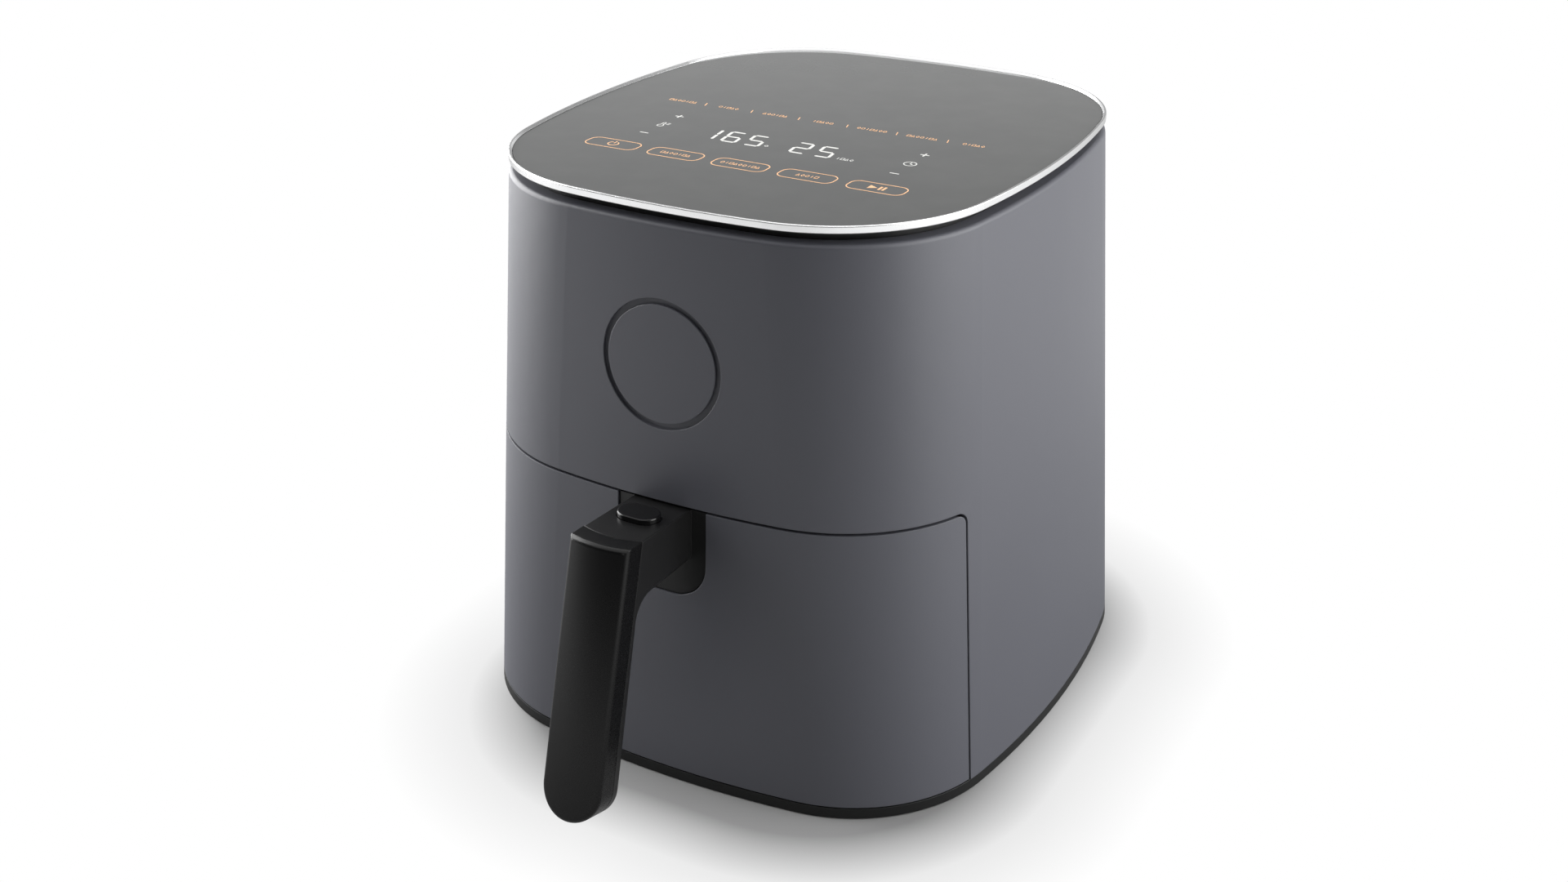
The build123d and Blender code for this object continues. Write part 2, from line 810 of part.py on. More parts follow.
def make_rear_outside():
    shell = extrude(Plane.YZ * arm_profile(), handle_half_width, both=True)
    shell &= grip_block(0, -6 * grip_thickness, 2 * crown_height)
    shell -= above_arm()
    touch = bore_gap

    def on_side(point):
        return abs(abs(point.X) - handle_half_width) < touch

    def is_lower(edge):
        point = edge @ 0.5
        place = grip_plane.to_local_coords(point)
        back = grip_depth_at(-place.Y)
        along_side = on_side(point) and place.Z < -back / 2 and point.Z < arm_low_z + touch
        return along_side or (abs(place.Z + back) < touch and place.Y < -grip_length / 2)

    shell = fillet([edge for edge in shell.edges() if is_lower(edge)], grip_edge_round)
    upper = [edge for edge in shell.edges() if on_side(edge @ 0.5) and (edge @ 0.5).Z > arm_root_z]
    return fillet(upper, arm_edge_round)


def make_root():
    half = notch_half_width - root_gap
    low = notch_floor_z + root_gap
    radius = notch_corner - root_gap
    plate = notch_region(half, low, drawer_top_z, radius, 2 * front_y, root_back_y)
    plate &= tapered(base_z, seam_height, root_recess)
    block_xs = (-root_block_half, root_block_half)
    block = slab(block_xs, (root_back_y, bracket_front_y), (block_low_z, block_top_z))
    return plate + block


def button_plan(grow):
    return SlotOverall(button_width + 2 * grow, button_depth + 2 * grow)


def button_prism(low, high, grow):
    return extrude(Pos(0, button_y, low) * button_plan(grow), high - low)


def make_mechanism_space():
    xs = (-pocket_half, pocket_half)
    space = slab(xs, (pocket_front_y, root_back_y), (pocket_floor_z, pocket_roof_z))
    space += slab(xs, (root_back_y, pocket_back_y), (0, pivot_z + latch_boss + latch_boss_gap))
    low = flange_low_z - button_travel - overrun
    space += button_prism(low, pocket_roof_z, button_flange + seat_gap)
    space += button_prism(low, button_top_z, seat_gap)
    space += rod_x(pivot_y, pivot_z, -handle_half_width, handle_half_width, latch_pin_radius + bore_gap)
    return space


def make_handle_rear_shell():
    shell = make_rear_outside() & grip_barrel(cover_thickness + parting_gap)
    shell += make_root()
    shell -= make_mechanism_space()
    for plane in handle_screw_planes():
        shell -= screw_along(plane, -overrun, 2 * grip_thickness, handle_screw_radius + bore_gap)
        shell -= screw_along(plane, -overrun, screw_head_height, handle_screw_head + bore_gap)
    for side in (1, -1):
        end = bracket_front_y - bracket_screw_length
        shell -= rod_y(side * bracket_screw_x, bracket_screw_z, end, 0, bracket_screw_radius + bore_gap)
    return shell


def make_handle_screw(plane):
    head = screw_along(plane, 0, screw_head_height, handle_screw_head)
    tip = screw_head_height + handle_screw_length
    return head + screw_along(plane, screw_head_height, tip, handle_screw_radius)


# Black liner of the notch, with the catch that the latch hooks under
def make_notch_liner():
    low = notch_floor_z + fit_gap
    outer_corner = notch_corner - fit_gap
    liner = notch_region(liner_half, low, drawer_top_z, outer_corner, liner_front_y, liner_back_y)
    liner -= notch_region(liner_inner_half, liner_floor_z, seam_height, liner_corner, 2 * front_y, 0)
    half = latch_width / 2
    post_front = lip_front_y - catch_lip
    catch_high = toe_high_z + catch_height
    liner += slab((-half, half), (post_front, lip_front_y), (low, catch_high))
    return liner + slab((-half, half), (lip_front_y, lip_back_y), (toe_high_z + catch_play, catch_high))


def make_basket_bracket():
    xs = (-root_block_half, root_block_half)
    plate = slab(xs, (bracket_front_y, bracket_front_y + bracket_thickness), (block_low_z, block_top_z))
    for side in (1, -1):
        x = side * bracket_screw_x
        plate -= rod_y(x, bracket_screw_z, 2 * front_y, 0, bracket_screw_radius + bore_gap)
    return plate


def make_bracket_screw(x):
    wall_y = basket_front_y + basket_wall
    seat_y = wall_y + fit_gap
    head = rod_y(x, bracket_screw_z, seat_y, seat_y + screw_head_height, screw_head_radius)
    tip_y = bracket_front_y - bracket_screw_length + screw_tip_gap
    return head + rod_y(x, bracket_screw_z, tip_y, seat_y, bracket_screw_radius)


nodes["handle_front_cover"] = make_handle_front_cover()
nodes["handle_rear_shell"] = make_handle_rear_shell()
nodes["handle_screws"] = [make_handle_screw(plane) for plane in handle_screw_planes()]
nodes["notch_liner"] = make_notch_liner()
nodes["basket_bracket"] = make_basket_bracket()
nodes["bracket_screws"] = [make_bracket_screw(side * bracket_screw_x) for side in (1, -1)]


# Release button, its spring, and the latch lever that it tips
def make_release_button():
    cap = button_prism(flange_high_z, button_top_z, 0)
    cap = fillet(cap.edges().group_by(Axis.Z)[-1], button_round)
    button = cap + button_prism(flange_low_z, flange_high_z, button_flange)
    ys = (rib_y - button_rib / 2 - button_flange, rib_y + button_rib / 2)
    foot = slab((-latch_width / 2, latch_width / 2), ys, (flange_low_z, flange_high_z))
    rib_ys = (rib_y - button_rib / 2, rib_y + button_rib / 2)
    rib = slab((-latch_width / 2, latch_width / 2), rib_ys, (lever_top_z + seat_gap, flange_high_z))
    return button + foot + rib


def make_latch_lever():
    half = latch_width / 2
    lever = rod_x(pivot_y, pivot_z, -half, half, latch_boss)
    front = rib_y - button_rib
    lever += slab((-half, half), (front, pivot_y), (lever_top_z - latch_arm, lever_top_z))
    lever += slab((-half, half), (arm_front_y, arm_back_y), (latch_low_z, pivot_z))
    lever += slab((-half, half), (lip_front_y + fit_gap, arm_back_y), (latch_low_z, toe_high_z))
    return lever - rod_x(pivot_y, pivot_z, -latch_width, latch_width, latch_pin_radius + bore_gap)


# Arc pairs that follow a helix, each pair a quarter turn, joined without a kink
def helix_arcs(radius, pitch, turns, start):
    slope = pitch / (2 * math.pi)

    def point(angle):
        return start + Vector(radius * math.cos(angle), radius * math.sin(angle), slope * angle)

    def way(angle):
        return Vector(-radius * math.sin(angle), radius * math.cos(angle), slope).normalized()

    edges = []
    step = math.pi / 2
    for i in range(4 * turns):
        first = point(i * step)
        last = point((i + 1) * step)
        leave = way(i * step)
        meet = way((i + 1) * step)
        chord = last - first
        lean = chord.dot(leave + meet)
        spread = 2 * (1 - leave.dot(meet))
        reach = (math.sqrt(lean ** 2 + spread * chord.dot(chord)) - lean) / spread
        joint = (first + leave * reach + last - meet * reach) * 0.5
        joint_way = (last - meet * reach - first - leave * reach).normalized()
        edges.append(TangentArc(first, joint, tangent=leave))
        edges.append(TangentArc(joint, last, tangent=joint_way))
    return Wire(edges)


def make_button_spring():
    low = pocket_floor_z + spring_wire / 2 + fit_gap
    high = flange_low_z - spring_wire / 2 - fit_gap
    pitch = (high - low) / spring_turns
    start_y = button_y - button_depth / 2 + spring_radius + spring_wire
    path = helix_arcs(spring_radius, pitch, spring_turns, Vector(0, start_y, low))
    print("button spring: least gap between turns", round(pitch - spring_wire, 2))
    section = Plane(path @ 0, z_dir=path % 0) * Circle(spring_wire / 2)
    return sweep(section, path=path)


nodes["release_button"] = make_release_button()
nodes["latch_lever"] = make_latch_lever()
pin_half = root_block_half - latch_pin_inset
nodes["latch_pin"] = rod_x(pivot_y, pivot_z, -pin_half, pin_half, latch_pin_radius)
nodes["button_spring"] = make_button_spring()

# Cooking bay: sheet liner round the drawer, with the heater opening in its roof
bay_inset = pan_rim_inset - bay_gap
bay_half_width = half_width(seam_height) - bay_inset
bay_front_y = drawer_back_y + seam_gap + door_margin
bay_back_y = half_depth(seam_height) - bay_inset
switch_front_y = bay_back_y + sheet


def bay_space(low, high, grow):
    half = bay_half_width + grow
    space = pan_block(low, high, bay_inset - grow)
    space += slab((-half, half), (2 * front_y, 0), (low, high))
    return space & slab((-2 * half, 2 * half), (bay_front_y, -2 * front_y), (low, high))


def make_chamber_liner():
    liner = bay_space(base_floor_z, roof_z, sheet) - bay_space(base_z, roof_low_z, 0)
    liner += pan_block(roof_low_z, roof_z, housing_wall + 2 * fit_gap + sheet)
    cheeks = tapered(base_floor_z, roof_z, housing_wall + seat_gap)
    cheek_xs = (-2 * bay_half_width, 2 * bay_half_width)
    cheeks &= slab(cheek_xs, (bay_front_y, bay_front_y + sheet), (0, roof_z))
    liner += cheeks - slab((-bay_half_width, bay_half_width), (2 * front_y, 0), (0, roof_low_z))
    liner -= rod(0, 0, seam_height, roof_z + overrun, heater_opening)
    return liner - rod_y(0, switch_height, 0, -2 * front_y, plunger_radius + bore_gap)


# Switch at the back of the bay that feels the closed drawer
def make_drawer_switch():
    xs = (-switch_half_width, switch_half_width)
    zs = (switch_height - switch_half_height, switch_height + switch_half_height)
    switch = slab(xs, (switch_front_y, switch_front_y + switch_depth), zs)
    bore_end = switch_front_y + switch_depth - sheet
    return switch - rod_y(0, switch_height, 0, bore_end, plunger_radius + bore_gap)


def make_switch_plunger():
    tip = half_depth(seam_height) - pan_inset + seat_gap
    tail = switch_front_y + switch_depth - 2 * sheet
    plunger = rod_y(0, switch_height, tip, tail, plunger_radius)
    return fillet(plunger.edges().group_by(Axis.Y)[0], plunger_radius / 4)


nodes["chamber_liner"] = make_chamber_liner()
nodes["drawer_switch"] = make_drawer_switch()
nodes["switch_plunger"] = make_switch_plunger()

# Heater dome, tubular heater, its holders and the guard below it
dome_wall_radius = heater_opening
heater_z = roof_z + heater_rise
heater_middle = (heater_outer + heater_inner) / 2


def polar(radius, angle, z):
    turn = math.radians(angle)
    return Vector(radius * math.cos(turn), radius * math.sin(turn), z)


def tangent_way(angle):
    turn = math.radians(angle)
    return Vector(-math.sin(turn), math.cos(turn), 0)


def turned_profile(points):
    return revolve(Plane.XZ * make_face(Polyline(*points, close=True)), Axis.Z)


def dome_radius_at(z):
    return dome_wall_radius + (dome_top_radius - dome_wall_radius) * (z - roof_z) / dome_height


probe_place = polar(heater_middle, probe_angle, 0)


def make_dome():
    flange = dome_wall_radius + dome_flange
    points = [
        (dome_wall_radius, roof_z),
        (flange, roof_z),
        (flange, roof_z + sheet),
        (dome_wall_radius + sheet, roof_z + sheet),
        (dome_top_radius + sheet, dome_roof_z),
        (dome_hole_radius, dome_roof_z),
        (dome_hole_radius, dome_top_z),
        (dome_top_radius, dome_top_z),
    ]
    dome = turned_profile(points)
    for x, y in heater_ends():
        dome -= rod(x, y, roof_z, dome_roof_z + overrun, heater_tube_radius + fit_gap)
    x, y = probe_place.X, probe_place.Y
    return dome - rod(x, y, roof_z, dome_roof_z + overrun, probe_radius + fit_gap)


def heater_ends():
    ends = []
    for radius in (heater_outer, heater_inner):
        point = polar(radius, heater_start_angle, 0) - tangent_way(heater_start_angle) * heater_bend
        ends.append((point.X, point.Y))
    return ends


def ring_arcs(radius, first, last):
    middle = (first + last) / 2
    arcs = []
    for a, b in ((first, middle), (middle, last)):
        points = [polar(radius, angle, heater_z) for angle in (a, (a + b) / 2, b)]
        arcs.append(ThreePointArc(*points))
    return arcs


def make_heater_coil():
    top = dome_roof_z + heater_terminal
    up = Vector(0, 0, heater_bend)
    way = tangent_way(heater_start_angle)
    first = polar(heater_outer, heater_start_angle, heater_z)
    last = polar(heater_inner, heater_start_angle, heater_z)
    outer_foot = first - way * heater_bend + up
    inner_foot = last - way * heater_bend + up
    half_turn = (heater_outer - heater_inner) / 2
    turn_middle = polar(heater_middle, heater_end_angle, heater_z)
    edges = [Line(Vector(outer_foot.X, outer_foot.Y, top), outer_foot)]
    edges.append(TangentArc(outer_foot, first, tangent=Vector(0, 0, -1)))
    edges += ring_arcs(heater_outer, heater_start_angle, heater_end_angle)
    far = turn_middle + tangent_way(heater_end_angle) * half_turn
    outer_end = polar(heater_outer, heater_end_angle, heater_z)
    inner_end = polar(heater_inner, heater_end_angle, heater_z)
    edges.append(ThreePointArc(outer_end, far, inner_end))
    edges += ring_arcs(heater_inner, heater_end_angle, heater_start_angle)
    edges.append(TangentArc(last, inner_foot, tangent=way * -1))
    edges.append(Line(inner_foot, Vector(inner_foot.X, inner_foot.Y, top)))
    path = Wire(edges)
    print("heater: least gap between turns", heater_outer - heater_inner - 2 * heater_tube_radius)
    section = Plane(path @ 0, z_dir=path % 0) * Circle(heater_tube_radius)
    return sweep(section, path=path)


# Hanger over both heater turns, with a foot that holds them from below
def make_heater_clip(angle):
    low = heater_z + heater_tube_radius + fit_gap
    high = low + sheet
    end = dome_radius_at(high) - fit_gap
    half = clip_width / 2
    foot_high = heater_z - heater_tube_radius - fit_gap
    clip = slab((heater_inner - clip_width, end), (-half, half), (low, high))
    web_xs = (heater_middle - sheet / 2, heater_middle + sheet / 2)
    clip += slab(web_xs, (-half, half), (foot_high - sheet, high))
    clip += slab((heater_inner, heater_outer), (-half, half), (foot_high - sheet, foot_high))
    return Rot(0, 0, angle) * clip


def make_guard():
    low = roof_low_z - sheet
    band = (guard_radius - hub_radius) / (guard_rings - 1)
    plan = Sketch() + Circle(hub_radius)
    for i in range(1, guard_rings):
        radius = hub_radius + i * band
        plan += Circle(radius) - Circle(radius - guard_bar)
    plan += Circle(guard_radius) - Circle(heater_opening - guard_bar)
    for i in range(guard_spokes):
        spoke = Pos(guard_radius / 2, 0) * Rectangle(guard_radius - guard_bar, guard_bar)
        plan += Rot(0, 0, i * 360 / guard_spokes) * spoke
    return extrude(Pos(0, 0, low) * plan, sheet)


def make_probe():
    x, y = probe_place.X, probe_place.Y
    tip = rod(x, y, dome_top_z - probe_depth, dome_roof_z, probe_radius)
    return tip + rod(x, y, dome_roof_z, dome_roof_z + 2 * sheet, 2 * probe_radius)


def make_thermal_cutout():
    body = rod(0, -cutout_place, dome_roof_z, dome_roof_z + cutout_height, cutout_radius)
    half = cutout_radius / 3
    tab_ys = (-cutout_place - half, -cutout_place + half)
    tab_zs = (dome_roof_z + cutout_height, dome_roof_z + 2 * cutout_height)
    for side in (1, -1):
        x = side * half * 2
        body += slab((x - half / 4, x + half / 4), tab_ys, tab_zs)
    return body


nodes["heater_reflector"] = make_dome()
nodes["heater_coil"] = make_heater_coil()
nodes["heater_clips"] = [make_heater_clip(angle) for angle in clip_angles]
nodes["heater_guard"] = make_guard()
nodes["temperature_probe"] = make_probe()
nodes["thermal_cutout"] = make_thermal_cutout()

# Fan motor above the dome and the shaft with both fans
fan_high_z = dome_top_z - fan_roof_gap
fan_low_z = fan_high_z - convection_fan_depth
cooling_low_z = dome_roof_z + cooling_fan_gap
cooling_high_z = cooling_low_z + cooling_fan_depth
motor_low_z = cooling_high_z + motor_gap
core_low_z = motor_low_z + motor_plate
core_high_z = core_low_z + core_height
bridge_low_z = core_high_z + bridge_height
bridge_high_z = bridge_low_z + motor_plate
shaft_low_z = fan_low_z - fan_nut_height - shaft_tip
shaft_high_z = bridge_high_z + bush_flange_height + shaft_tip
rotor_bore = shaft_radius + bore_gap / 2


def make_convection_fan():
    fan = rod(0, 0, fan_low_z, fan_high_z, hub_radius)
    fan += rod(0, 0, fan_high_z - fan_plate, fan_high_z, convection_fan_radius)
    blade_xs = (2 * hub_radius, convection_fan_radius)
    blade = slab(blade_xs, (-fan_plate / 2, fan_plate / 2), (fan_low_z, fan_high_z))
    for i in range(convection_blades):
        fan += Rot(0, 0, i * 360 / convection_blades) * blade
    return fan - rod(0, 0, fan_low_z - overrun, fan_high_z + overrun, rotor_bore)


def make_cooling_fan():
    fan = rod(0, 0, cooling_low_z, cooling_high_z, hub_radius)
    middle = (cooling_low_z + cooling_high_z) / 2
    chord = (cooling_fan_depth - 2 * fan_plate) / math.sin(math.radians(cooling_blade_angle))
    length = cooling_fan_radius - hub_radius / 2
    blade = Rot(cooling_blade_angle, 0, 0) * Box(length, chord, fan_plate)
    blade = Pos(hub_radius / 2 + length / 2, 0, middle) * blade
    for i in range(cooling_blades):
        fan += Rot(0, 0, i * 360 / cooling_blades) * blade
    fan &= rod(0, 0, cooling_low_z, cooling_high_z, cooling_fan_radius)
    return fan - rod(0, 0, cooling_low_z - overrun, cooling_high_z + overrun, rotor_bore)


def make_fan_nut():
    nut = Pos(0, 0, fan_low_z - fan_nut_height) * RegularPolygon(fan_nut_width / 2, 6, major_radius=False)
    return extrude(nut, fan_nut_height) - rod(0, 0, 0, fan_high_z, rotor_bore)


def make_motor_bracket():
    plate = slab((-leg_x, leg_x), (-leg_y - leg_radius, leg_y + leg_radius), (motor_low_z, core_low_z))
    for x, y in mirrored_pairs(leg_x, leg_y):
        plate += rod(x, y, dome_roof_z, core_low_z, leg_radius)
    return plate - rod(0, 0, 0, core_high_z, bush_radius + bore_gap / 2)


def make_motor_core():
    half = core_width / 2
    core = slab((-half, half), (-core_front, core_back), (core_low_z, core_high_z))
    core -= rod(0, 0, 0, core_high_z + overrun, rotor_radius + rotor_air_gap)
    window = (window_front, core_back - core_leg)
    return core - slab((-window_half, window_half), window, (0, core_high_z + overrun))


def make_motor_coil():
    reach = coil_wall
    ys = (core_back - core_leg - reach, core_back + reach)
    coil = slab((-coil_half, coil_half), ys, (core_low_z - reach, core_high_z + reach))
    coil = fillet(coil.edges().filter_by(Axis.X), reach / 2)
    leg = (core_back - core_leg - fit_gap, core_back + fit_gap)
    return coil - slab((-core_width, core_width), leg, (core_low_z - fit_gap, core_high_z + fit_gap))


def make_bridge():
    half = core_width / 2
    depth = (-bridge_half_depth, bridge_half_depth)
    bridge = slab((-half, half), depth, (bridge_low_z, bridge_high_z))
    for side in (1, -1):
        xs = sorted((side * half, side * (half - bridge_leg)))
        bridge += slab(xs, depth, (core_high_z, bridge_low_z))
    return bridge - rod(0, 0, 0, bridge_high_z + overrun, bush_radius + bore_gap / 2)


def make_bush(low, high, flange_low):
    bush = rod(0, 0, low, high, bush_radius)
    bush += rod(0, 0, flange_low, flange_low + bush_flange_height, bush_radius + bush_flange)
    return bush - rod(0, 0, 0, shaft_high_z + overrun, shaft_radius + bore_gap)


nodes["rotor_shaft"] = rod(0, 0, shaft_low_z, shaft_high_z, shaft_radius)
nodes["convection_fan"] = make_convection_fan()
nodes["cooling_fan"] = make_cooling_fan()
nodes["fan_nut"] = make_fan_nut()
rotor_ends = (core_low_z + bush_rise + seat_gap, core_high_z)
nodes["rotor_core"] = rod(0, 0, *rotor_ends, rotor_radius) - rod(0, 0, 0, shaft_high_z, rotor_bore)
nodes["motor_bracket"] = make_motor_bracket()
nodes["motor_core"] = make_motor_core()
nodes["motor_coil"] = make_motor_coil()
nodes["motor_bridge"] = make_bridge()
nodes["lower_bearing"] = make_bush(motor_low_z, core_low_z + bush_rise, motor_low_z - bush_flange_height)
nodes["upper_bearing"] = make_bush(bridge_low_z, bridge_high_z, bridge_high_z)


# Power board on an angle bracket behind the dome
def make_board_bracket():
    xs = (-power_board_width / 2, power_board_width / 2)
    foot = slab(xs, (power_board_y - board_foot, power_board_y), (roof_z, roof_z + sheet))
    foot -= rod(0, 0, roof_low_z, dome_roof_z, dome_wall_radius + dome_flange + seat_gap)
    high = roof_z + sheet + power_board_height
    wall = slab(xs, (power_board_y, power_board_y + sheet), (roof_z, high))
    middle = roof_z + sheet + power_board_height / 2
    for x, z in board_corners(power_board_width, power_board_height):
        wall += rod_y(x, middle + z, power_board_y - board_standoff, power_board_y, standoff_radius)
    return foot + wall


def make_power_board():
    back = power_board_y - board_standoff
    low = roof_z + 2 * sheet
    xs = (-power_board_width / 2, power_board_width / 2)
    board = slab(xs, (back - board_thickness, back), (low, low + power_board_height - sheet))
    front = back - board_thickness
    relay_high = low + power_board_height / 2
    relay_xs = (-power_board_width / 3, -power_board_width / 6)
    board += slab(relay_xs, (front - relay_depth, front), (low + relay_rise, relay_high))
    return board + rod_y(power_board_width / 4, relay_high, front - relay_depth, front, 2 * standoff_radius)


nodes["board_bracket"] = make_board_bracket()
nodes["power_board"] = make_power_board()

# The origin lies on the counter under the middle of the whole length, handle included
every_piece = []
for shape in nodes.values():
    every_piece += shape if isinstance(shape, list) else [shape]
reach_front = min(piece.bounding_box().min.Y for piece in every_piece)
reach_back = max(piece.bounding_box().max.Y for piece in every_piece)
centre_shift = -(reach_front + reach_back) / 2
print("shift along Y", round(centre_shift, 3), "overall depth", round(reach_back - reach_front, 2))
print("pivot", round(pivot_y + centre_shift, 3), round(pivot_z, 3), "latch angle", round(latch_angle, 5))

os.makedirs("parts", exist_ok=True)
for name, shape in nodes.items():
    solids = shape if isinstance(shape, list) else shape.solids()
    placed = [Pos(0, centre_shift, 0) * solid for solid in solids]
    export_step(placed[0] if len(placed) == 1 else Compound(placed), f"parts/{name}.step")
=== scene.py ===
import json
import math

import bmesh
import bpy
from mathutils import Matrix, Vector


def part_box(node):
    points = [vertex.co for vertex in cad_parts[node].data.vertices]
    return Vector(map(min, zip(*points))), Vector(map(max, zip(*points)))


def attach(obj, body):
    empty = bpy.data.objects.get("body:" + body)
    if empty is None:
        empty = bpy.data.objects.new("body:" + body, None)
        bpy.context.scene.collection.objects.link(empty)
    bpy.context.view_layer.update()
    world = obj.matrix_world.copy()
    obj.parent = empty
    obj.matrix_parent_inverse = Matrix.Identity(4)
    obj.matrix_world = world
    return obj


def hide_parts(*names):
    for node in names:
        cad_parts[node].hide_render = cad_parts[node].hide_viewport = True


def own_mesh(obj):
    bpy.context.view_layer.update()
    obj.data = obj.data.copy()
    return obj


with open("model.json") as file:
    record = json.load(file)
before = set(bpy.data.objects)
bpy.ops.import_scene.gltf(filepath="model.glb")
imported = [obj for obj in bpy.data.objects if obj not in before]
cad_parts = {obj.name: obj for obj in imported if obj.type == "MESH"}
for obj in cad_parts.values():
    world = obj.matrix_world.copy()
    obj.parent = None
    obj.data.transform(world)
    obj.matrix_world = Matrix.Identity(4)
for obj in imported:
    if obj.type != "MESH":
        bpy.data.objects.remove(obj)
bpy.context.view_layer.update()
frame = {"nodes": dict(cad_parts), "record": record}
nodes = frame["nodes"]
mm = 0.001
print("frame loaded with", len(nodes), "nodes")


# shader node groups shared by several finishes

def startGroup(name, inputs, outputs):
    group = bpy.data.node_groups.new(name, "ShaderNodeTree")
    for label, kind, value in inputs:
        socket = group.interface.new_socket(name=label, in_out="INPUT", socket_type=kind)
        socket.default_value = value
    for label, kind in outputs:
        group.interface.new_socket(name=label, in_out="OUTPUT", socket_type=kind)
    return group, group.nodes.new("NodeGroupInput"), group.nodes.new("NodeGroupOutput")


def addNode(tree, kind, **settings):
    node = tree.nodes.new(kind)
    for key, value in settings.items():
        setattr(node, key, value)
    return node


def mathNode(tree, operation, first, second):
    node = addNode(tree, "ShaderNodeMath", operation=operation)
    for index, value in enumerate((first, second)):
        if isinstance(value, (int, float)):
            node.inputs[index].default_value = value
        else:
            tree.links.new(value, node.inputs[index])
    return node.outputs[0]


def noiseNode(tree, vector, scale, detail):
    node = addNode(tree, "ShaderNodeTexNoise")
    tree.links.new(vector, node.inputs["Vector"])
    if isinstance(scale, (int, float)):
        node.inputs["Scale"].default_value = scale
    else:
        tree.links.new(scale, node.inputs["Scale"])
    node.inputs["Detail"].default_value = detail
    return node.outputs["Fac"]


def rangeNode(tree, value, low, high, newLow, newHigh):
    node = addNode(tree, "ShaderNodeMapRange")
    tree.links.new(value, node.inputs["Value"])
    limits = (("From Min", low), ("From Max", high), ("To Min", newLow), ("To Max", newHigh))
    for label, number in limits:
        if isinstance(number, (int, float)):
            node.inputs[label].default_value = number
        else:
            tree.links.new(number, node.inputs[label])
    return node.outputs["Result"]


def mixColour(tree, factor, first, second):
    node = addNode(tree, "ShaderNodeMix", data_type="RGBA")
    tree.links.new(factor, node.inputs["Factor"])
    for label, value in ((6, first), (7, second)):
        if isinstance(value, tuple):
            node.inputs[label].default_value = (*value, 1.0)
        else:
            tree.links.new(value, node.inputs[label])
    return node.outputs[2]


def weighted(tree, first, second, share):
    part = mathNode(tree, "MULTIPLY", first, share)
    return mathNode(tree, "ADD", part, mathNode(tree, "MULTIPLY", second, 1.0 - share))


def buildMouldGrain():
    # fine moulded skin over slow clouding of the colour
    spec = {"fineDetail": 2.0, "cloudScale": 14.0, "cloudDetail": 3.0, "fineShare": 0.35}
    tree, source, result = startGroup(
        "mouldGrain",
        [("Colour", "NodeSocketColor", (0.1, 0.1, 0.1, 1.0)),
         ("Tint", "NodeSocketColor", (0.12, 0.12, 0.12, 1.0)),
         ("Grain", "NodeSocketFloat", 1500.0), ("Roughness", "NodeSocketFloat", 0.4),
         ("Spread", "NodeSocketFloat", 0.06)],
        [("Colour", "NodeSocketColor"), ("Roughness", "NodeSocketFloat"), ("Height", "NodeSocketFloat")])
    place = addNode(tree, "ShaderNodeTexCoord").outputs["Object"]
    fine = noiseNode(tree, place, source.outputs["Grain"], spec["fineDetail"])
    slow = noiseNode(tree, place, spec["cloudScale"], spec["cloudDetail"])
    blend = weighted(tree, fine, slow, spec["fineShare"])
    colour = mixColour(tree, blend, source.outputs["Colour"], source.outputs["Tint"])
    shift = mathNode(tree, "MULTIPLY", mathNode(tree, "SUBTRACT", blend, 0.5), source.outputs["Spread"])
    tree.links.new(colour, result.inputs["Colour"])
    tree.links.new(mathNode(tree, "ADD", source.outputs["Roughness"], shift), result.inputs["Roughness"])
    tree.links.new(fine, result.inputs["Height"])
    return tree


def buildEdgeWearAndHighlight():
    # softened edges that catch the light, and a mask along them, broken up as by handling; the mask mixes a
    # lighter colour in there, partly as wear and partly as a painted highlight
    spec = {"fullTurn": 0.82, "breakScale": 260.0, "breakDetail": 4.0, "breakRange": (0.35, 0.65),
            "least": 0.25}
    tree, source, result = startGroup(
        "edgeWearAndHighlight", [("Reach", "NodeSocketFloat", 0.0006), ("Amount", "NodeSocketFloat", 0.5)],
        [("Mask", "NodeSocketFloat"), ("Normal", "NodeSocketVector")])
    bevel = addNode(tree, "ShaderNodeBevel", samples=4)
    tree.links.new(source.outputs["Reach"], bevel.inputs["Radius"])
    surface = addNode(tree, "ShaderNodeNewGeometry")
    dot = addNode(tree, "ShaderNodeVectorMath", operation="DOT_PRODUCT")
    tree.links.new(bevel.outputs["Normal"], dot.inputs[0])
    tree.links.new(surface.outputs["Normal"], dot.inputs[1])
    edge = rangeNode(tree, dot.outputs["Value"], 1.0, spec["fullTurn"], 0.0, 1.0)
    place = addNode(tree, "ShaderNodeTexCoord").outputs["Object"]
    broken = noiseNode(tree, place, spec["breakScale"], spec["breakDetail"])
    broken = rangeNode(tree, broken, *spec["breakRange"], spec["least"], 1.0)
    mask = mathNode(tree, "MULTIPLY", edge, broken)
    tree.links.new(mathNode(tree, "MULTIPLY", mask, source.outputs["Amount"]), result.inputs["Mask"])
    tree.links.new(bevel.outputs["Normal"], result.inputs["Normal"])
    return tree


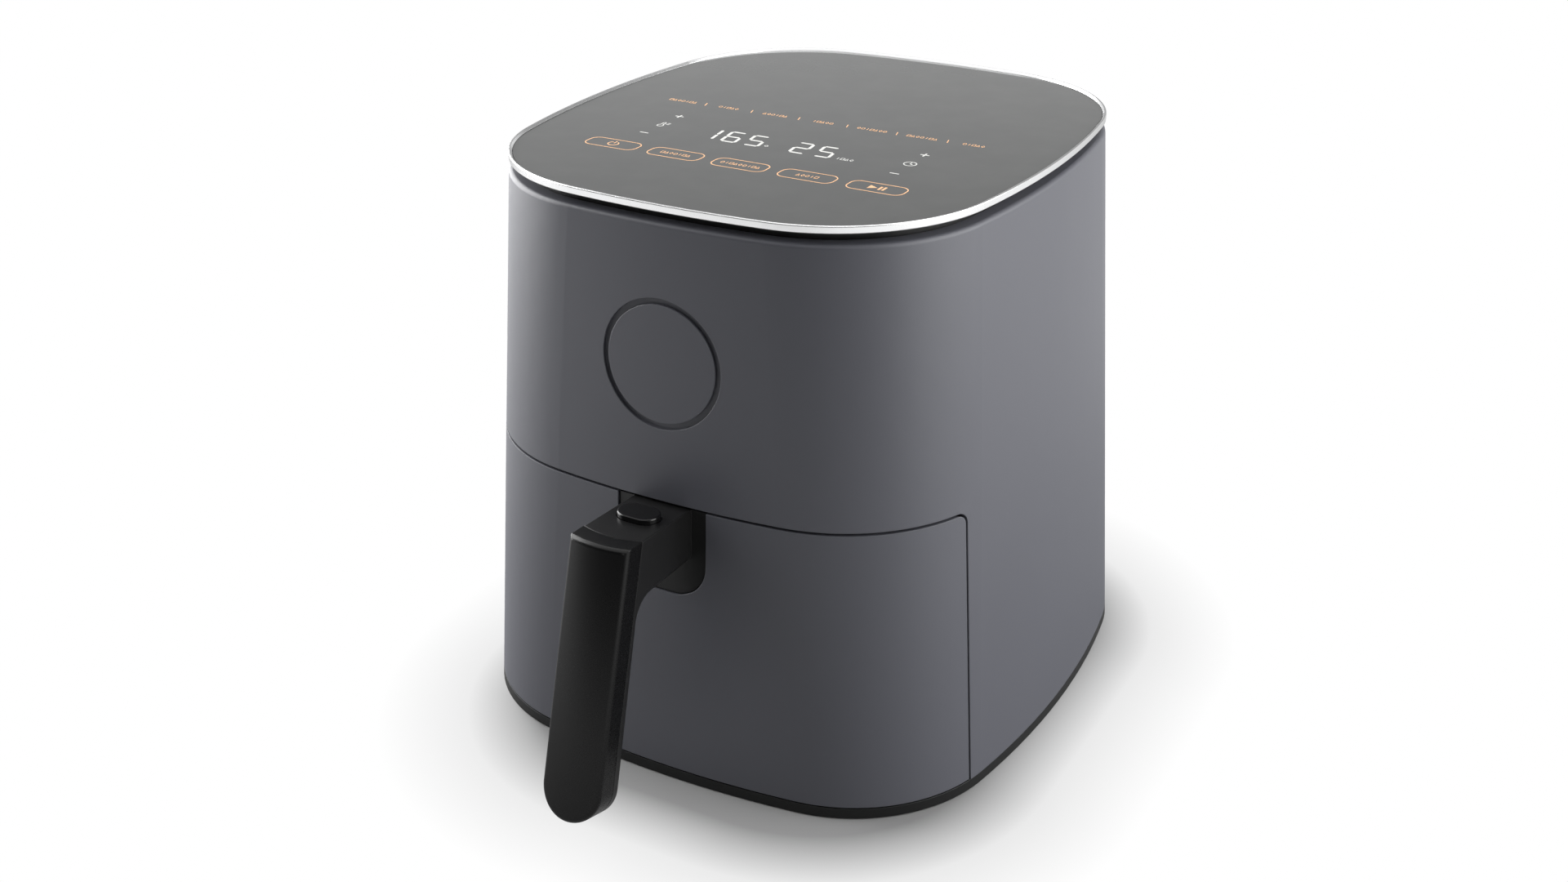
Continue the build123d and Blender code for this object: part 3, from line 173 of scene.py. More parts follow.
def buildDustFilm():
    # faint dust that settles on faces that look up
    spec = {"upward": (0.3, 1.0), "patchDetail": 5.0, "patchRange": (0.4, 0.7)}
    tree, source, result = startGroup(
        "dustFilm", [("Amount", "NodeSocketFloat", 0.1), ("Patch", "NodeSocketFloat", 30.0)],
        [("Mask", "NodeSocketFloat")])
    surface = addNode(tree, "ShaderNodeNewGeometry")
    split = addNode(tree, "ShaderNodeSeparateXYZ")
    tree.links.new(surface.outputs["Normal"], split.inputs[0])
    upward = rangeNode(tree, split.outputs["Z"], *spec["upward"], 0.0, 1.0)
    place = addNode(tree, "ShaderNodeTexCoord").outputs["Object"]
    patch = noiseNode(tree, place, source.outputs["Patch"], spec["patchDetail"])
    patch = rangeNode(tree, patch, *spec["patchRange"], 0.0, 1.0)
    mask = mathNode(tree, "MULTIPLY", upward, patch)
    tree.links.new(mathNode(tree, "MULTIPLY", mask, source.outputs["Amount"]), result.inputs["Mask"])
    return tree


def buildDrawnLines():
    # drawn or brushed lines of sheet and bar metal, stretched along one axis
    spec = {"lineScale": 60.0, "lineDetail": 4.0, "cloudScale": 18.0, "cloudDetail": 3.0, "lineShare": 0.5}
    tree, source, result = startGroup(
        "drawnLines",
        [("Colour", "NodeSocketColor", (0.6, 0.6, 0.6, 1.0)),
         ("Tint", "NodeSocketColor", (0.5, 0.5, 0.5, 1.0)),
         ("Stretch", "NodeSocketVector", (1.0, 40.0, 40.0)), ("Roughness", "NodeSocketFloat", 0.3),
         ("Spread", "NodeSocketFloat", 0.15)],
        [("Colour", "NodeSocketColor"), ("Roughness", "NodeSocketFloat"), ("Height", "NodeSocketFloat")])
    place = addNode(tree, "ShaderNodeTexCoord").outputs["Object"]
    stretch = addNode(tree, "ShaderNodeVectorMath", operation="MULTIPLY")
    tree.links.new(place, stretch.inputs[0])
    tree.links.new(source.outputs["Stretch"], stretch.inputs[1])
    lines = noiseNode(tree, stretch.outputs["Vector"], spec["lineScale"], spec["lineDetail"])
    slow = noiseNode(tree, place, spec["cloudScale"], spec["cloudDetail"])
    blend = weighted(tree, lines, slow, spec["lineShare"])
    colour = mixColour(tree, blend, source.outputs["Colour"], source.outputs["Tint"])
    shift = mathNode(tree, "MULTIPLY", mathNode(tree, "SUBTRACT", blend, 0.5), source.outputs["Spread"])
    tree.links.new(colour, result.inputs["Colour"])
    tree.links.new(mathNode(tree, "ADD", source.outputs["Roughness"], shift), result.inputs["Roughness"])
    tree.links.new(lines, result.inputs["Height"])
    return tree


mouldGrain = buildMouldGrain()
edgeWearAndHighlight = buildEdgeWearAndHighlight()
dustFilm = buildDustFilm()
drawnLines = buildDrawnLines()
print("node groups ready")


# finishes

def startMaterial(name):
    material = bpy.data.materials.new(name)
    material.use_nodes = True
    tree = material.node_tree
    return material, tree, tree.nodes["Principled BSDF"]


def setGroup(tree, group, values):
    node = addNode(tree, "ShaderNodeGroup", node_tree=group)
    for label, value in values.items():
        socket = node.inputs[label]
        socket.default_value = (*value, 1.0) if socket.type == "RGBA" else value
    return node


def bumpFrom(tree, shader, height, distance, strength, edge=None):
    bump = addNode(tree, "ShaderNodeBump")
    if edge:
        tree.links.new(edge, bump.inputs["Normal"])
    bump.inputs["Distance"].default_value = distance
    bump.inputs["Strength"].default_value = strength
    tree.links.new(height, bump.inputs["Height"])
    tree.links.new(bump.outputs["Normal"], shader.inputs["Normal"])


dustSpec = {"patch": 30.0, "panelPatch": 60.0, "panelAmount": 0.02, "colour": (0.42, 0.41, 0.39),
            "panelColour": (0.5, 0.5, 0.48)}
metalReach = 0.0005
coatRoughness = 0.08


def plasticFinish(name, spec):
    material, tree, shader = startMaterial(name)
    skin = setGroup(tree, mouldGrain, {"Colour": spec["colour"], "Tint": spec["tint"], "Grain": spec["grain"],
                                       "Roughness": spec["roughness"], "Spread": spec["spread"]})
    wornAndHighlighted = setGroup(tree, edgeWearAndHighlight, {"Reach": spec["edgeReach"], "Amount": spec["wearAndHighlight"]})
    dust = setGroup(tree, dustFilm, {"Amount": spec["dust"], "Patch": dustSpec["patch"]})
    # edge colour mixed into the base colour: partly wear, partly a painted highlight
    colour = mixColour(tree, wornAndHighlighted.outputs["Mask"], skin.outputs["Colour"], spec["wearAndHighlightColour"])
    colour = mixColour(tree, dust.outputs["Mask"], colour, dustSpec["colour"])
    tree.links.new(colour, shader.inputs["Base Color"])
    tree.links.new(skin.outputs["Roughness"], shader.inputs["Roughness"])
    shader.inputs["IOR"].default_value = spec["ior"]
    shader.inputs["Coat Weight"].default_value = spec["coat"]
    shader.inputs["Coat Roughness"].default_value = coatRoughness
    edge = wornAndHighlighted.outputs["Normal"]
    bumpFrom(tree, shader, skin.outputs["Height"], distance=spec["bump"], strength=0.6, edge=edge)
    return material


def metalFinish(name, spec):
    material, tree, shader = startMaterial(name)
    lines = setGroup(tree, drawnLines, {"Colour": spec["colour"], "Tint": spec["tint"],
                                        "Stretch": spec["stretch"], "Roughness": spec["roughness"],
                                        "Spread": spec["spread"]})
    wornAndHighlighted = setGroup(tree, edgeWearAndHighlight, {"Reach": metalReach, "Amount": spec["wearAndHighlight"]})
    # edge colour mixed into the base colour: partly wear, partly a painted highlight
    colour = mixColour(tree, wornAndHighlighted.outputs["Mask"], lines.outputs["Colour"], spec["wearAndHighlightColour"])
    tree.links.new(colour, shader.inputs["Base Color"])
    tree.links.new(lines.outputs["Roughness"], shader.inputs["Roughness"])
    shader.inputs["Metallic"].default_value = 1.0
    if "graze" in spec:
        shader.inputs["Specular Tint"].default_value = (*spec["graze"], 1.0)
    edge = wornAndHighlighted.outputs["Normal"]
    bumpFrom(tree, shader, lines.outputs["Height"], distance=spec["bump"], strength=0.4, edge=edge)
    return material


plasticSpecs = {
    "housing_plastic": {"colour": (0.083, 0.0855, 0.102), "tint": (0.090, 0.0925, 0.110), "grain": 1500.0,
                        "roughness": 0.48, "spread": 0.05, "bump": 0.00003, "wearAndHighlight": 0.25, "edgeReach": 0.0006,
                        "wearAndHighlightColour": (0.2, 0.205, 0.22), "dust": 0.02, "ior": 1.6, "coat": 0.0},
    "base_plastic": {"colour": (0.0075, 0.0078, 0.0078), "tint": (0.0100, 0.0105, 0.0104), "grain": 1200.0,
                     "roughness": 0.38, "spread": 0.06, "bump": 0.00003, "wearAndHighlight": 0.3, "edgeReach": 0.0005,
                     "wearAndHighlightColour": (0.06, 0.062, 0.062), "dust": 0.02, "ior": 1.4, "coat": 0.0},
    "black_plastic": {"colour": (0.0105, 0.0105, 0.0106), "tint": (0.0125, 0.0125, 0.0127), "grain": 1700.0,
                      "roughness": 0.3, "spread": 0.06, "bump": 0.000025, "wearAndHighlight": 0.3, "edgeReach": 0.0005,
                      "wearAndHighlightColour": (0.05, 0.05, 0.052), "dust": 0.01, "ior": 1.42, "coat": 0.0},
    "cover_black": {"colour": (0.0024, 0.0024, 0.0025), "tint": (0.0034, 0.0034, 0.0035), "grain": 1700.0,
                    "roughness": 0.27, "spread": 0.05, "bump": 0.000015, "wearAndHighlight": 0.2, "edgeReach": 0.0007,
                    "wearAndHighlightColour": (0.04, 0.04, 0.041), "dust": 0.01, "ior": 1.4, "coat": 0.0},
    "gloss_black": {"colour": (0.004, 0.004, 0.0042), "tint": (0.006, 0.006, 0.0062), "grain": 900.0,
                    "roughness": 0.16, "spread": 0.05, "bump": 0.00001, "wearAndHighlight": 0.15, "edgeReach": 0.0004,
                    "wearAndHighlightColour": (0.04, 0.04, 0.04), "dust": 0.015, "ior": 1.4, "coat": 0.15},
    "rubber_foot": {"colour": (0.016, 0.016, 0.016), "tint": (0.026, 0.025, 0.025), "grain": 700.0,
                    "roughness": 0.8, "spread": 0.1, "bump": 0.00008, "wearAndHighlight": 0.3, "edgeReach": 0.0008,
                    "wearAndHighlightColour": (0.07, 0.07, 0.068), "dust": 0.08, "ior": 1.45, "coat": 0.0},
}
metalSpecs = {
    "trim_chrome": {"colour": (0.96, 0.965, 0.97), "tint": (0.92, 0.925, 0.93), "stretch": (1.0, 1.0, 8.0),
                    "roughness": 0.2, "spread": 0.05, "bump": 0.000002, "wearAndHighlight": 0.1,
                    "wearAndHighlightColour": (0.8, 0.8, 0.8), "graze": (0.6, 0.6, 0.6)},
    "sheet_steel": {"colour": (0.52, 0.52, 0.51), "tint": (0.42, 0.42, 0.415), "stretch": (1.0, 30.0, 30.0),
                    "roughness": 0.34, "spread": 0.16, "bump": 0.00001, "wearAndHighlight": 0.4,
                    "wearAndHighlightColour": (0.7, 0.7, 0.69)},
    "heater_steel": {"colour": (0.23, 0.215, 0.2), "tint": (0.13, 0.115, 0.11), "stretch": (1.0, 1.0, 1.0),
                     "roughness": 0.5, "spread": 0.2, "bump": 0.00002, "wearAndHighlight": 0.3,
                     "wearAndHighlightColour": (0.36, 0.34, 0.32)},
    "fan_aluminium": {"colour": (0.7, 0.705, 0.71), "tint": (0.6, 0.605, 0.61), "stretch": (20.0, 20.0, 1.0),
                      "roughness": 0.33, "spread": 0.14, "bump": 0.00001, "wearAndHighlight": 0.3,
                      "wearAndHighlightColour": (0.82, 0.82, 0.83)},
    "zinc_steel": {"colour": (0.62, 0.62, 0.6), "tint": (0.52, 0.515, 0.48), "stretch": (6.0, 6.0, 6.0),
                   "roughness": 0.32, "spread": 0.16, "bump": 0.00001, "wearAndHighlight": 0.4,
                   "wearAndHighlightColour": (0.75, 0.75, 0.74)},
    "bronze": {"colour": (0.46, 0.3, 0.13), "tint": (0.36, 0.22, 0.09), "stretch": (8.0, 8.0, 1.0),
               "roughness": 0.4, "spread": 0.16, "bump": 0.00002, "wearAndHighlight": 0.3,
               "wearAndHighlightColour": (0.62, 0.44, 0.2)},
}


def panelGlassFinish():
    # tinted touch panel: grey print under a hard gloss coat with faint smears
    spec = {"colour": (0.103, 0.105, 0.1042), "tint": (0.113, 0.115, 0.114), "grain": 500.0,
            "roughness": 0.1, "spread": 0.05, "ior": 1.4}
    material, tree, shader = startMaterial("panelGlass")
    skin = setGroup(tree, mouldGrain, {"Colour": spec["colour"], "Tint": spec["tint"], "Grain": spec["grain"],
                                       "Roughness": spec["roughness"], "Spread": spec["spread"]})
    dust = setGroup(tree, dustFilm, {"Amount": dustSpec["panelAmount"], "Patch": dustSpec["panelPatch"]})
    colour = mixColour(tree, dust.outputs["Mask"], skin.outputs["Colour"], dustSpec["panelColour"])
    tree.links.new(colour, shader.inputs["Base Color"])
    tree.links.new(skin.outputs["Roughness"], shader.inputs["Roughness"])
    shader.inputs["IOR"].default_value = spec["ior"]
    return material


def nonstickFinish():
    # dark cooking coat with fine pale specks
    spec = {"colour": (0.03, 0.03, 0.031), "tint": (0.042, 0.042, 0.043), "speck": (0.2, 0.2, 0.2),
            "grain": 900.0, "roughness": 0.36, "spread": 0.12, "cells": 420.0, "speckSize": 0.16}
    material, tree, shader = startMaterial("nonstickCoat")
    skin = setGroup(tree, mouldGrain, {"Colour": spec["colour"], "Tint": spec["tint"], "Grain": spec["grain"],
                                       "Roughness": spec["roughness"], "Spread": spec["spread"]})
    place = addNode(tree, "ShaderNodeTexCoord").outputs["Object"]
    cells = addNode(tree, "ShaderNodeTexVoronoi")
    cells.inputs["Scale"].default_value = spec["cells"]
    tree.links.new(place, cells.inputs["Vector"])
    specks = rangeNode(tree, cells.outputs["Distance"], 0.0, spec["speckSize"], 0.5, 0.0)
    colour = mixColour(tree, specks, skin.outputs["Colour"], spec["speck"])
    tree.links.new(colour, shader.inputs["Base Color"])
    tree.links.new(skin.outputs["Roughness"], shader.inputs["Roughness"])
    bumpFrom(tree, shader, skin.outputs["Height"], distance=0.00004, strength=0.5)
    return material


def windingFinish():
    # enamelled wire lying side by side across the coil
    spec = {"colour": (0.5, 0.2, 0.075), "gap": (0.16, 0.055, 0.02), "scale": 300.0, "sway": 0.6}
    material, tree, shader = startMaterial("windingWire")
    place = addNode(tree, "ShaderNodeTexCoord").outputs["Object"]
    turns = addNode(tree, "ShaderNodeTexWave", wave_type="BANDS", bands_direction="X")
    turns.inputs["Scale"].default_value = spec["scale"]
    turns.inputs["Distortion"].default_value = spec["sway"]
    tree.links.new(place, turns.inputs["Vector"])
    colour = mixColour(tree, turns.outputs["Fac"], spec["gap"], spec["colour"])
    tree.links.new(colour, shader.inputs["Base Color"])
    tree.links.new(rangeNode(tree, turns.outputs["Fac"], 0.0, 1.0, 0.5, 0.28), shader.inputs["Roughness"])
    shader.inputs["Metallic"].default_value = 0.7
    bumpFrom(tree, shader, turns.outputs["Fac"], distance=0.0002, strength=0.7)
    return material


def laminationFinish():
    # stacked sheet edges
    spec = {"colour": (0.3, 0.31, 0.33), "gap": (0.11, 0.11, 0.12), "rust": (0.2, 0.12, 0.07),
            "scale": 1000.0 / 3.0}
    material, tree, shader = startMaterial("stackedSheet")
    place = addNode(tree, "ShaderNodeTexCoord").outputs["Object"]
    stack = addNode(tree, "ShaderNodeTexWave", wave_type="BANDS", bands_direction="Z")
    stack.inputs["Scale"].default_value = spec["scale"]
    tree.links.new(place, stack.inputs["Vector"])
    rust = noiseNode(tree, place, 60.0, 4.0)
    colour = mixColour(tree, stack.outputs["Fac"], spec["gap"], spec["colour"])
    colour = mixColour(tree, rangeNode(tree, rust, 0.55, 0.8, 0.0, 0.35), colour, spec["rust"])
    tree.links.new(colour, shader.inputs["Base Color"])
    tree.links.new(rangeNode(tree, rust, 0.3, 0.7, 0.35, 0.55), shader.inputs["Roughness"])
    shader.inputs["Metallic"].default_value = 0.9
    bumpFrom(tree, shader, stack.outputs["Fac"], distance=0.0001, strength=0.5)
    return material


def boardFinish():
    # solder mask with brighter copper runs under it
    spec = {"colour": (0.012, 0.075, 0.03), "run": (0.03, 0.14, 0.055), "scale": 160.0, "gap": 0.06}
    material, tree, shader = startMaterial("circuitBoard")
    place = addNode(tree, "ShaderNodeTexCoord").outputs["Object"]
    runs = addNode(tree, "ShaderNodeTexBrick")
    runs.inputs["Scale"].default_value = spec["scale"]
    runs.inputs["Mortar Size"].default_value = spec["gap"]
    tree.links.new(place, runs.inputs["Vector"])
    cloud = noiseNode(tree, place, 90.0, 3.0)
    colour = mixColour(tree, runs.outputs["Fac"], spec["colour"], spec["run"])
    colour = mixColour(tree, rangeNode(tree, cloud, 0.4, 0.7, 0.0, 0.3), colour, spec["colour"])
    tree.links.new(colour, shader.inputs["Base Color"])
    tree.links.new(rangeNode(tree, cloud, 0.3, 0.7, 0.22, 0.4), shader.inputs["Roughness"])
    bumpFrom(tree, shader, runs.outputs["Fac"], distance=0.00005, strength=0.5)
    return material


def printFinish(name, colour, glow):
    # printed or lit marks seen through the panel
    material, tree, shader = startMaterial(name)
    place = addNode(tree, "ShaderNodeTexCoord").outputs["Object"]
    cloud = rangeNode(tree, noiseNode(tree, place, 400.0, 2.0), 0.3, 0.7, 0.0, 1.0)
    darker = tuple(channel * 0.9 for channel in colour)
    tone = mixColour(tree, cloud, darker, colour)
    tree.links.new(tone, shader.inputs["Base Color"])
    tree.links.new(tone, shader.inputs["Emission Color"])
    shader.inputs["Emission Strength"].default_value = glow
    shader.inputs["Roughness"].default_value = 0.4
    return material


finishes = {slot: plasticFinish(slot, spec) for slot, spec in plasticSpecs.items()}
finishes.update({slot: metalFinish(slot, spec) for slot, spec in metalSpecs.items()})
finishes["panel_glass"] = panelGlassFinish()
finishes["nonstick"] = nonstickFinish()
finishes["winding"] = windingFinish()
finishes["laminations"] = laminationFinish()
finishes["circuit_board"] = boardFinish()
for entry in frame["record"]["subparts"]:
    mesh = nodes[entry["node"]].data
    mesh.materials.clear()
    mesh.materials.append(finishes[entry["material_slot"]])
# the grip's cover is a deeper black than the arm behind it
nodes["handle_front_cover"].data.materials[0] = finishes["cover_black"]
print("finishes on", len(nodes), "nodes")


# marks on the touch panel, in millimetres from the middle of the panel

panelLow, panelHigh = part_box("top_panel")
panelMiddle = (panelLow + panelHigh) / 2
inkHeight = 0.06


def onPanel(x, y, lift):
    return (x * mm, panelMiddle.y + y * mm, panelHigh.z + lift * mm)


def addPrism(mesh, points):
    # closed thin prism over a flat outline given counter-clockwise
    low = [mesh.verts.new(onPanel(x, y, -inkHeight / 3)) for x, y in points]
    high = [mesh.verts.new(onPanel(x, y, inkHeight)) for x, y in points]
    mesh.faces.new(high)
    mesh.faces.new(low[::-1])
    for i in range(len(points)):
        j = (i + 1) % len(points)
        mesh.faces.new((low[i], low[j], high[j], high[i]))


def addStroke(mesh, points, width, closed=False):
    # ribbon of even width along a line of points
    count = len(points)
    sides = ([], [])
    for i, (x, y) in enumerate(points):
        before = points[i - 1] if closed or i > 0 else (x, y)
        after = points[(i + 1) % count] if closed or i < count - 1 else (x, y)
        first = Vector((x - before[0], y - before[1]))
        second = Vector((after[0] - x, after[1] - y))
        first = first.normalized() if first.length > 0 else second.normalized()
        second = second.normalized() if second.length > 0 else first
        way = (first + second).normalized()
        reach = width / 2 / max(way.dot(first), 0.5)
        for side, sign in zip(sides, (1, -1)):
            side.append((x - sign * way.y * reach, y + sign * way.x * reach))
    rails = []
    for side in sides:
        for lift in (-inkHeight / 3, inkHeight):
            rails.append([mesh.verts.new(onPanel(x, y, lift)) for x, y in side])
    leftLow, leftHigh, rightLow, rightHigh = rails
    for i in range(count if closed else count - 1):
        j = (i + 1) % count
        mesh.faces.new((leftHigh[i], rightHigh[i], rightHigh[j], leftHigh[j]))
        mesh.faces.new((leftLow[j], rightLow[j], rightLow[i], leftLow[i]))
        mesh.faces.new((leftLow[i], leftHigh[i], leftHigh[j], leftLow[j]))
        mesh.faces.new((rightLow[j], rightHigh[j], rightHigh[i], rightLow[i]))
    if not closed:
        mesh.faces.new((leftLow[0], rightLow[0], rightHigh[0], leftHigh[0]))
        mesh.faces.new((leftHigh[-1], rightHigh[-1], rightLow[-1], leftLow[-1]))


def arcPoints(x, y, radius, start, end, steps):
    angles = [math.radians(start + (end - start) * i / steps) for i in range(steps + 1)]
    return [(x + radius * math.cos(angle), y + radius * math.sin(angle)) for angle in angles]


def finishPiece(name, mesh, material, bodyName):
    bmesh.ops.recalc_face_normals(mesh, faces=mesh.faces)
    data = bpy.data.meshes.new(name)
    mesh.to_mesh(data)
    mesh.free()
    piece = bpy.data.objects.new(name, data)
    bpy.context.scene.collection.objects.link(piece)
    data.materials.append(material)
    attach(piece, bodyName)
    return piece


pills = {"y": -74.2, "pitch": 35.0, "length": 28.0, "height": 12.0, "corner": 4.4, "stroke": 0.55, "count": 5}
printPeach = printFinish("peachPrint", (0.80, 0.46, 0.25), 0.4)
printPale = printFinish("palePrint", (0.62, 0.62, 0.6), 0.45)


def pillPlaces():
    middle = (pills["count"] - 1) / 2
    return [((i - middle) * pills["pitch"], pills["y"]) for i in range(pills["count"])]


def makePills():
    # rounded key outlines along the front of the panel
    mesh = bmesh.new()
    corner = pills["corner"]
    along = pills["length"] / 2 - corner
    across = pills["height"] / 2 - corner
    for x, y in pillPlaces():
        line = []
        for start, sideX, sideY in ((-90, 1, -1), (0, 1, 1), (90, -1, 1), (180, -1, -1)):
            line += arcPoints(x + sideX * along, y + sideY * across, corner, start, start + 90, 8)
        addStroke(mesh, line, pills["stroke"], closed=True)
    return finishPiece("panelPills", mesh, printPeach, "housing")


signs = {"stroke": 0.32, "pitch": 2.35, "half": 0.8, "rise": 1.25}
keySigns = {"stroke": 0.6, "ring": 2.6, "stem": (0.6, 3.6), "arrow": (-4.0, 0.2), "rise": 2.3,
            "bars": (1.6, 3.6), "bar": 1.1, "counts": (7, 9, 5)}


def addSigns(mesh, x, y, count, first):
    # a row of small plain signs: box, ring, peak, bar and diamond
    half = signs["half"]
    rise = signs["rise"]
    ring = [(px * half / rise, py) for px, py in arcPoints(0.0, 0.0, rise, 0, 330, 11)]
    shapes = [[(-half, -rise), (half, -rise), (half, rise), (-half, rise)], ring,
              [(-half, -rise), (half, -rise), (0.0, rise)], [(0.0, -rise), (0.0, rise)],
              [(0.0, -rise), (half, 0.0), (0.0, rise), (-half, 0.0)]]
    for i in range(count):
        shape = shapes[(first + i * 2) % len(shapes)]
        left = x + (i - (count - 1) / 2) * signs["pitch"]
        addStroke(mesh, [(left + px, y + py) for px, py in shape], signs["stroke"], closed=len(shape) > 2)


def makePillSymbols():
    # power and start signs in the outer keys, rows of plain signs in the others
    mesh = bmesh.new()
    stroke = keySigns["stroke"]
    power, *others, (x, y) = pillPlaces()
    addStroke(mesh, arcPoints(*power, keySigns["ring"], 120, 420, 24), stroke)
    addStroke(mesh, [(power[0], power[1] + rise) for rise in keySigns["stem"]], stroke)
    for first, (place, count) in enumerate(zip(others, keySigns["counts"])):
        addSigns(mesh, *place, count, first)
    back, tip = keySigns["arrow"]
    rise = keySigns["rise"]
    addPrism(mesh, [(x + back, y - rise), (x + tip, y), (x + back, y + rise)])
    for shift in keySigns["bars"]:
        addStroke(mesh, [(x + shift, y - rise), (x + shift, y + rise)], keySigns["bar"])
    return finishPiece("panelPillSymbols", mesh, printPeach, "housing")


digitBars = {"1": "bc", "2": "abged", "5": "afgcd", "6": "afgedc"}
readouts = {"low": -45.0, "height": 15.4, "width": 7.4, "bar": 1.5, "gap": 0.62, "lean": -0.14,
            "texts": [("165", (-38.1, -25.4, -12.7)), ("25", (11.9, 25.2))]}


def addBar(mesh, start, end, bar):
    # one lit bar with pointed ends
    way = Vector((end[0] - start[0], end[1] - start[1])).normalized()
    side = Vector((-way.y, way.x)) * bar / 2
    first = Vector(start) + way * bar * readouts["gap"]
    last = Vector(end) - way * bar * readouts["gap"]
    tip = way * bar / 2
    points = [first - tip, first - side, last - side, last + tip, last + side, first + side]
    addPrism(mesh, [tuple(point) for point in points])


def makeReadouts():
    mesh = bmesh.new()
    low = -readouts["height"] / 2
    high = -low
    half = readouts["width"] / 2
    middle = readouts["low"] + high
    ends = {"a": ((-half, high), (half, high)), "b": ((half, 0.0), (half, high)),
            "c": ((half, low), (half, 0.0)), "d": ((-half, low), (half, low)),
            "e": ((-half, low), (-half, 0.0)), "f": ((-half, 0.0), (-half, high)),
            "g": ((-half, 0.0), (half, 0.0))}
    for text, places in readouts["texts"]:
        for digit, x in zip(text, places):
            for name in digitBars[digit]:
                line = [(x + px + py * readouts["lean"], middle + py) for px, py in ends[name]]
                addBar(mesh, *line, readouts["bar"])
    return finishPiece("panelReadouts", mesh, printPale, "housing")


adjusters = {"x": 67.4, "plusY": -19.2, "labelY": -35.0, "minusY": -51.5, "reach": 2.3, "stroke": 0.8}
thermometer = {"bulb": 1.6, "drop": 2.0, "tube": 0.75, "shoulder": 2.4, "top": 3.2, "stroke": 0.5,
               "ticks": (0.4, 1.5, 2.6), "tickSpan": (1.9, 3.4), "tickStroke": 0.45}
clock = {"radius": 3.0, "stroke": 0.55, "hands": ((0.0, 2.0), (0.0, 0.0), (1.5, -0.9)), "handStroke": 0.5}
degreeRing = {"x": -4.4, "y": -42.4, "radius": 0.8, "stroke": 0.4}
unitSigns = {"x": 38.0, "y": -43.5, "count": 4, "first": 3}


def makeAdjusters():
    # plus and minus keys with a thermometer and a clock sign between them, and the unit marks
    mesh = bmesh.new()
    reach = adjusters["reach"]
    stroke = adjusters["stroke"]
    for side in (-1, 1):
        x = side * adjusters["x"]
        bar = stroke / 2
        plus = [(-reach, -bar), (-bar, -bar), (-bar, -reach), (bar, -reach), (bar, -bar), (reach, -bar),
                (reach, bar), (bar, bar), (bar, reach), (-bar, reach), (-bar, bar), (-reach, bar)]
        addPrism(mesh, [(x + px, adjusters["plusY"] + py) for px, py in plus])
        addStroke(mesh, [(x - reach, adjusters["minusY"]), (x + reach, adjusters["minusY"])], stroke)
    x = -adjusters["x"]
    y = adjusters["labelY"]
    tube = thermometer["tube"]
    shoulder = y + thermometer["shoulder"]
    bulb = arcPoints(x, y - thermometer["drop"], thermometer["bulb"], 118, 422, 18)
    crown = [(x + tube, shoulder), (x, y + thermometer["top"]), (x - tube, shoulder)]
    addStroke(mesh, bulb + crown, thermometer["stroke"], closed=True)
    for rise in thermometer["ticks"]:
        tick = [(x + shift, y + rise) for shift in thermometer["tickSpan"]]
        addStroke(mesh, tick, thermometer["tickStroke"])
    x = adjusters["x"]
    addStroke(mesh, arcPoints(x, y, clock["radius"], 0, 345, 23), clock["stroke"], closed=True)
    addStroke(mesh, [(x + px, y + py) for px, py in clock["hands"]], clock["handStroke"])
    ring = arcPoints(degreeRing["x"], degreeRing["y"], degreeRing["radius"], 0, 330, 11)
    addStroke(mesh, ring, degreeRing["stroke"], closed=True)
    addSigns(mesh, unitSigns["x"], unitSigns["y"], unitSigns["count"], unitSigns["first"])
    return finishPiece("panelAdjusters", mesh, printPale, "housing")


presets = {"y": 6.3, "pitch": 27.0, "counts": (7, 5, 6, 5, 7, 7, 5), "slash": (0.6, 2.2), "stroke": 0.5}


def makePresets():
    # one row of plain signs for each preset, parted by slanted strokes
    mesh = bmesh.new()
    y = presets["y"]
    counts = presets["counts"]
    places = [(i - (len(counts) - 1) / 2) * presets["pitch"] for i in range(len(counts))]
    for i, (x, count) in enumerate(zip(places, counts)):
        addSigns(mesh, x, y, count, i)
    lean, rise = presets["slash"]
    for left, right in zip(places, places[1:]):
        middle = (left + right) / 2
        addStroke(mesh, [(middle + lean, y - rise), (middle - lean, y + rise)], presets["stroke"])
    return finishPiece("panelPresets", mesh, printPeach, "housing")


for makeMarks in (makePills, makePillSymbols, makeReadouts, makeAdjusters, makePresets):
    makeMarks()
print("panel marks drawn")


# button spring, drawn again as a coil

spring = {"turns": 6, "wire": 0.45 * mm, "steps": 28, "sides": 10, "press": 3.0 * mm}


def makeButtonSpring():
    low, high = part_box("button_spring")
    wire = spring["wire"]
    radius = (high.x - low.x) / 2 - wire
    middle = (low + high) / 2
    count = spring["turns"] * spring["steps"]
    mesh = bmesh.new()
    rings = []
    for i in range(count + 1):
        turn = math.tau * i / spring["steps"]
        outward = Vector((math.cos(turn), math.sin(turn), 0.0))
        centre = Vector((middle.x, middle.y, low.z + wire)) + outward * radius
        centre.z += (high.z - low.z - 2 * wire) * i / count
        ring = []
        for k in range(spring["sides"]):
            angle = math.tau * k / spring["sides"]
            upward = Vector((0, 0, wire * math.sin(angle)))
            ring.append(mesh.verts.new(centre + outward * wire * math.cos(angle) + upward))
        rings.append(ring)
    for first, second in zip(rings, rings[1:]):
        for k in range(spring["sides"]):
            j = (k + 1) % spring["sides"]
            face = mesh.faces.new((first[k], first[j], second[j], second[k]))
            face.smooth = True
    mesh.faces.new(rings[0][::-1])
    mesh.faces.new(rings[-1])
    piece = finishPiece("buttonCoil", mesh, finishes["zinc_steel"], "drawer")
    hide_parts("button_spring")
    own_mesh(piece)


makeButtonSpring()
print("button spring coiled")


# stage, lights and camera

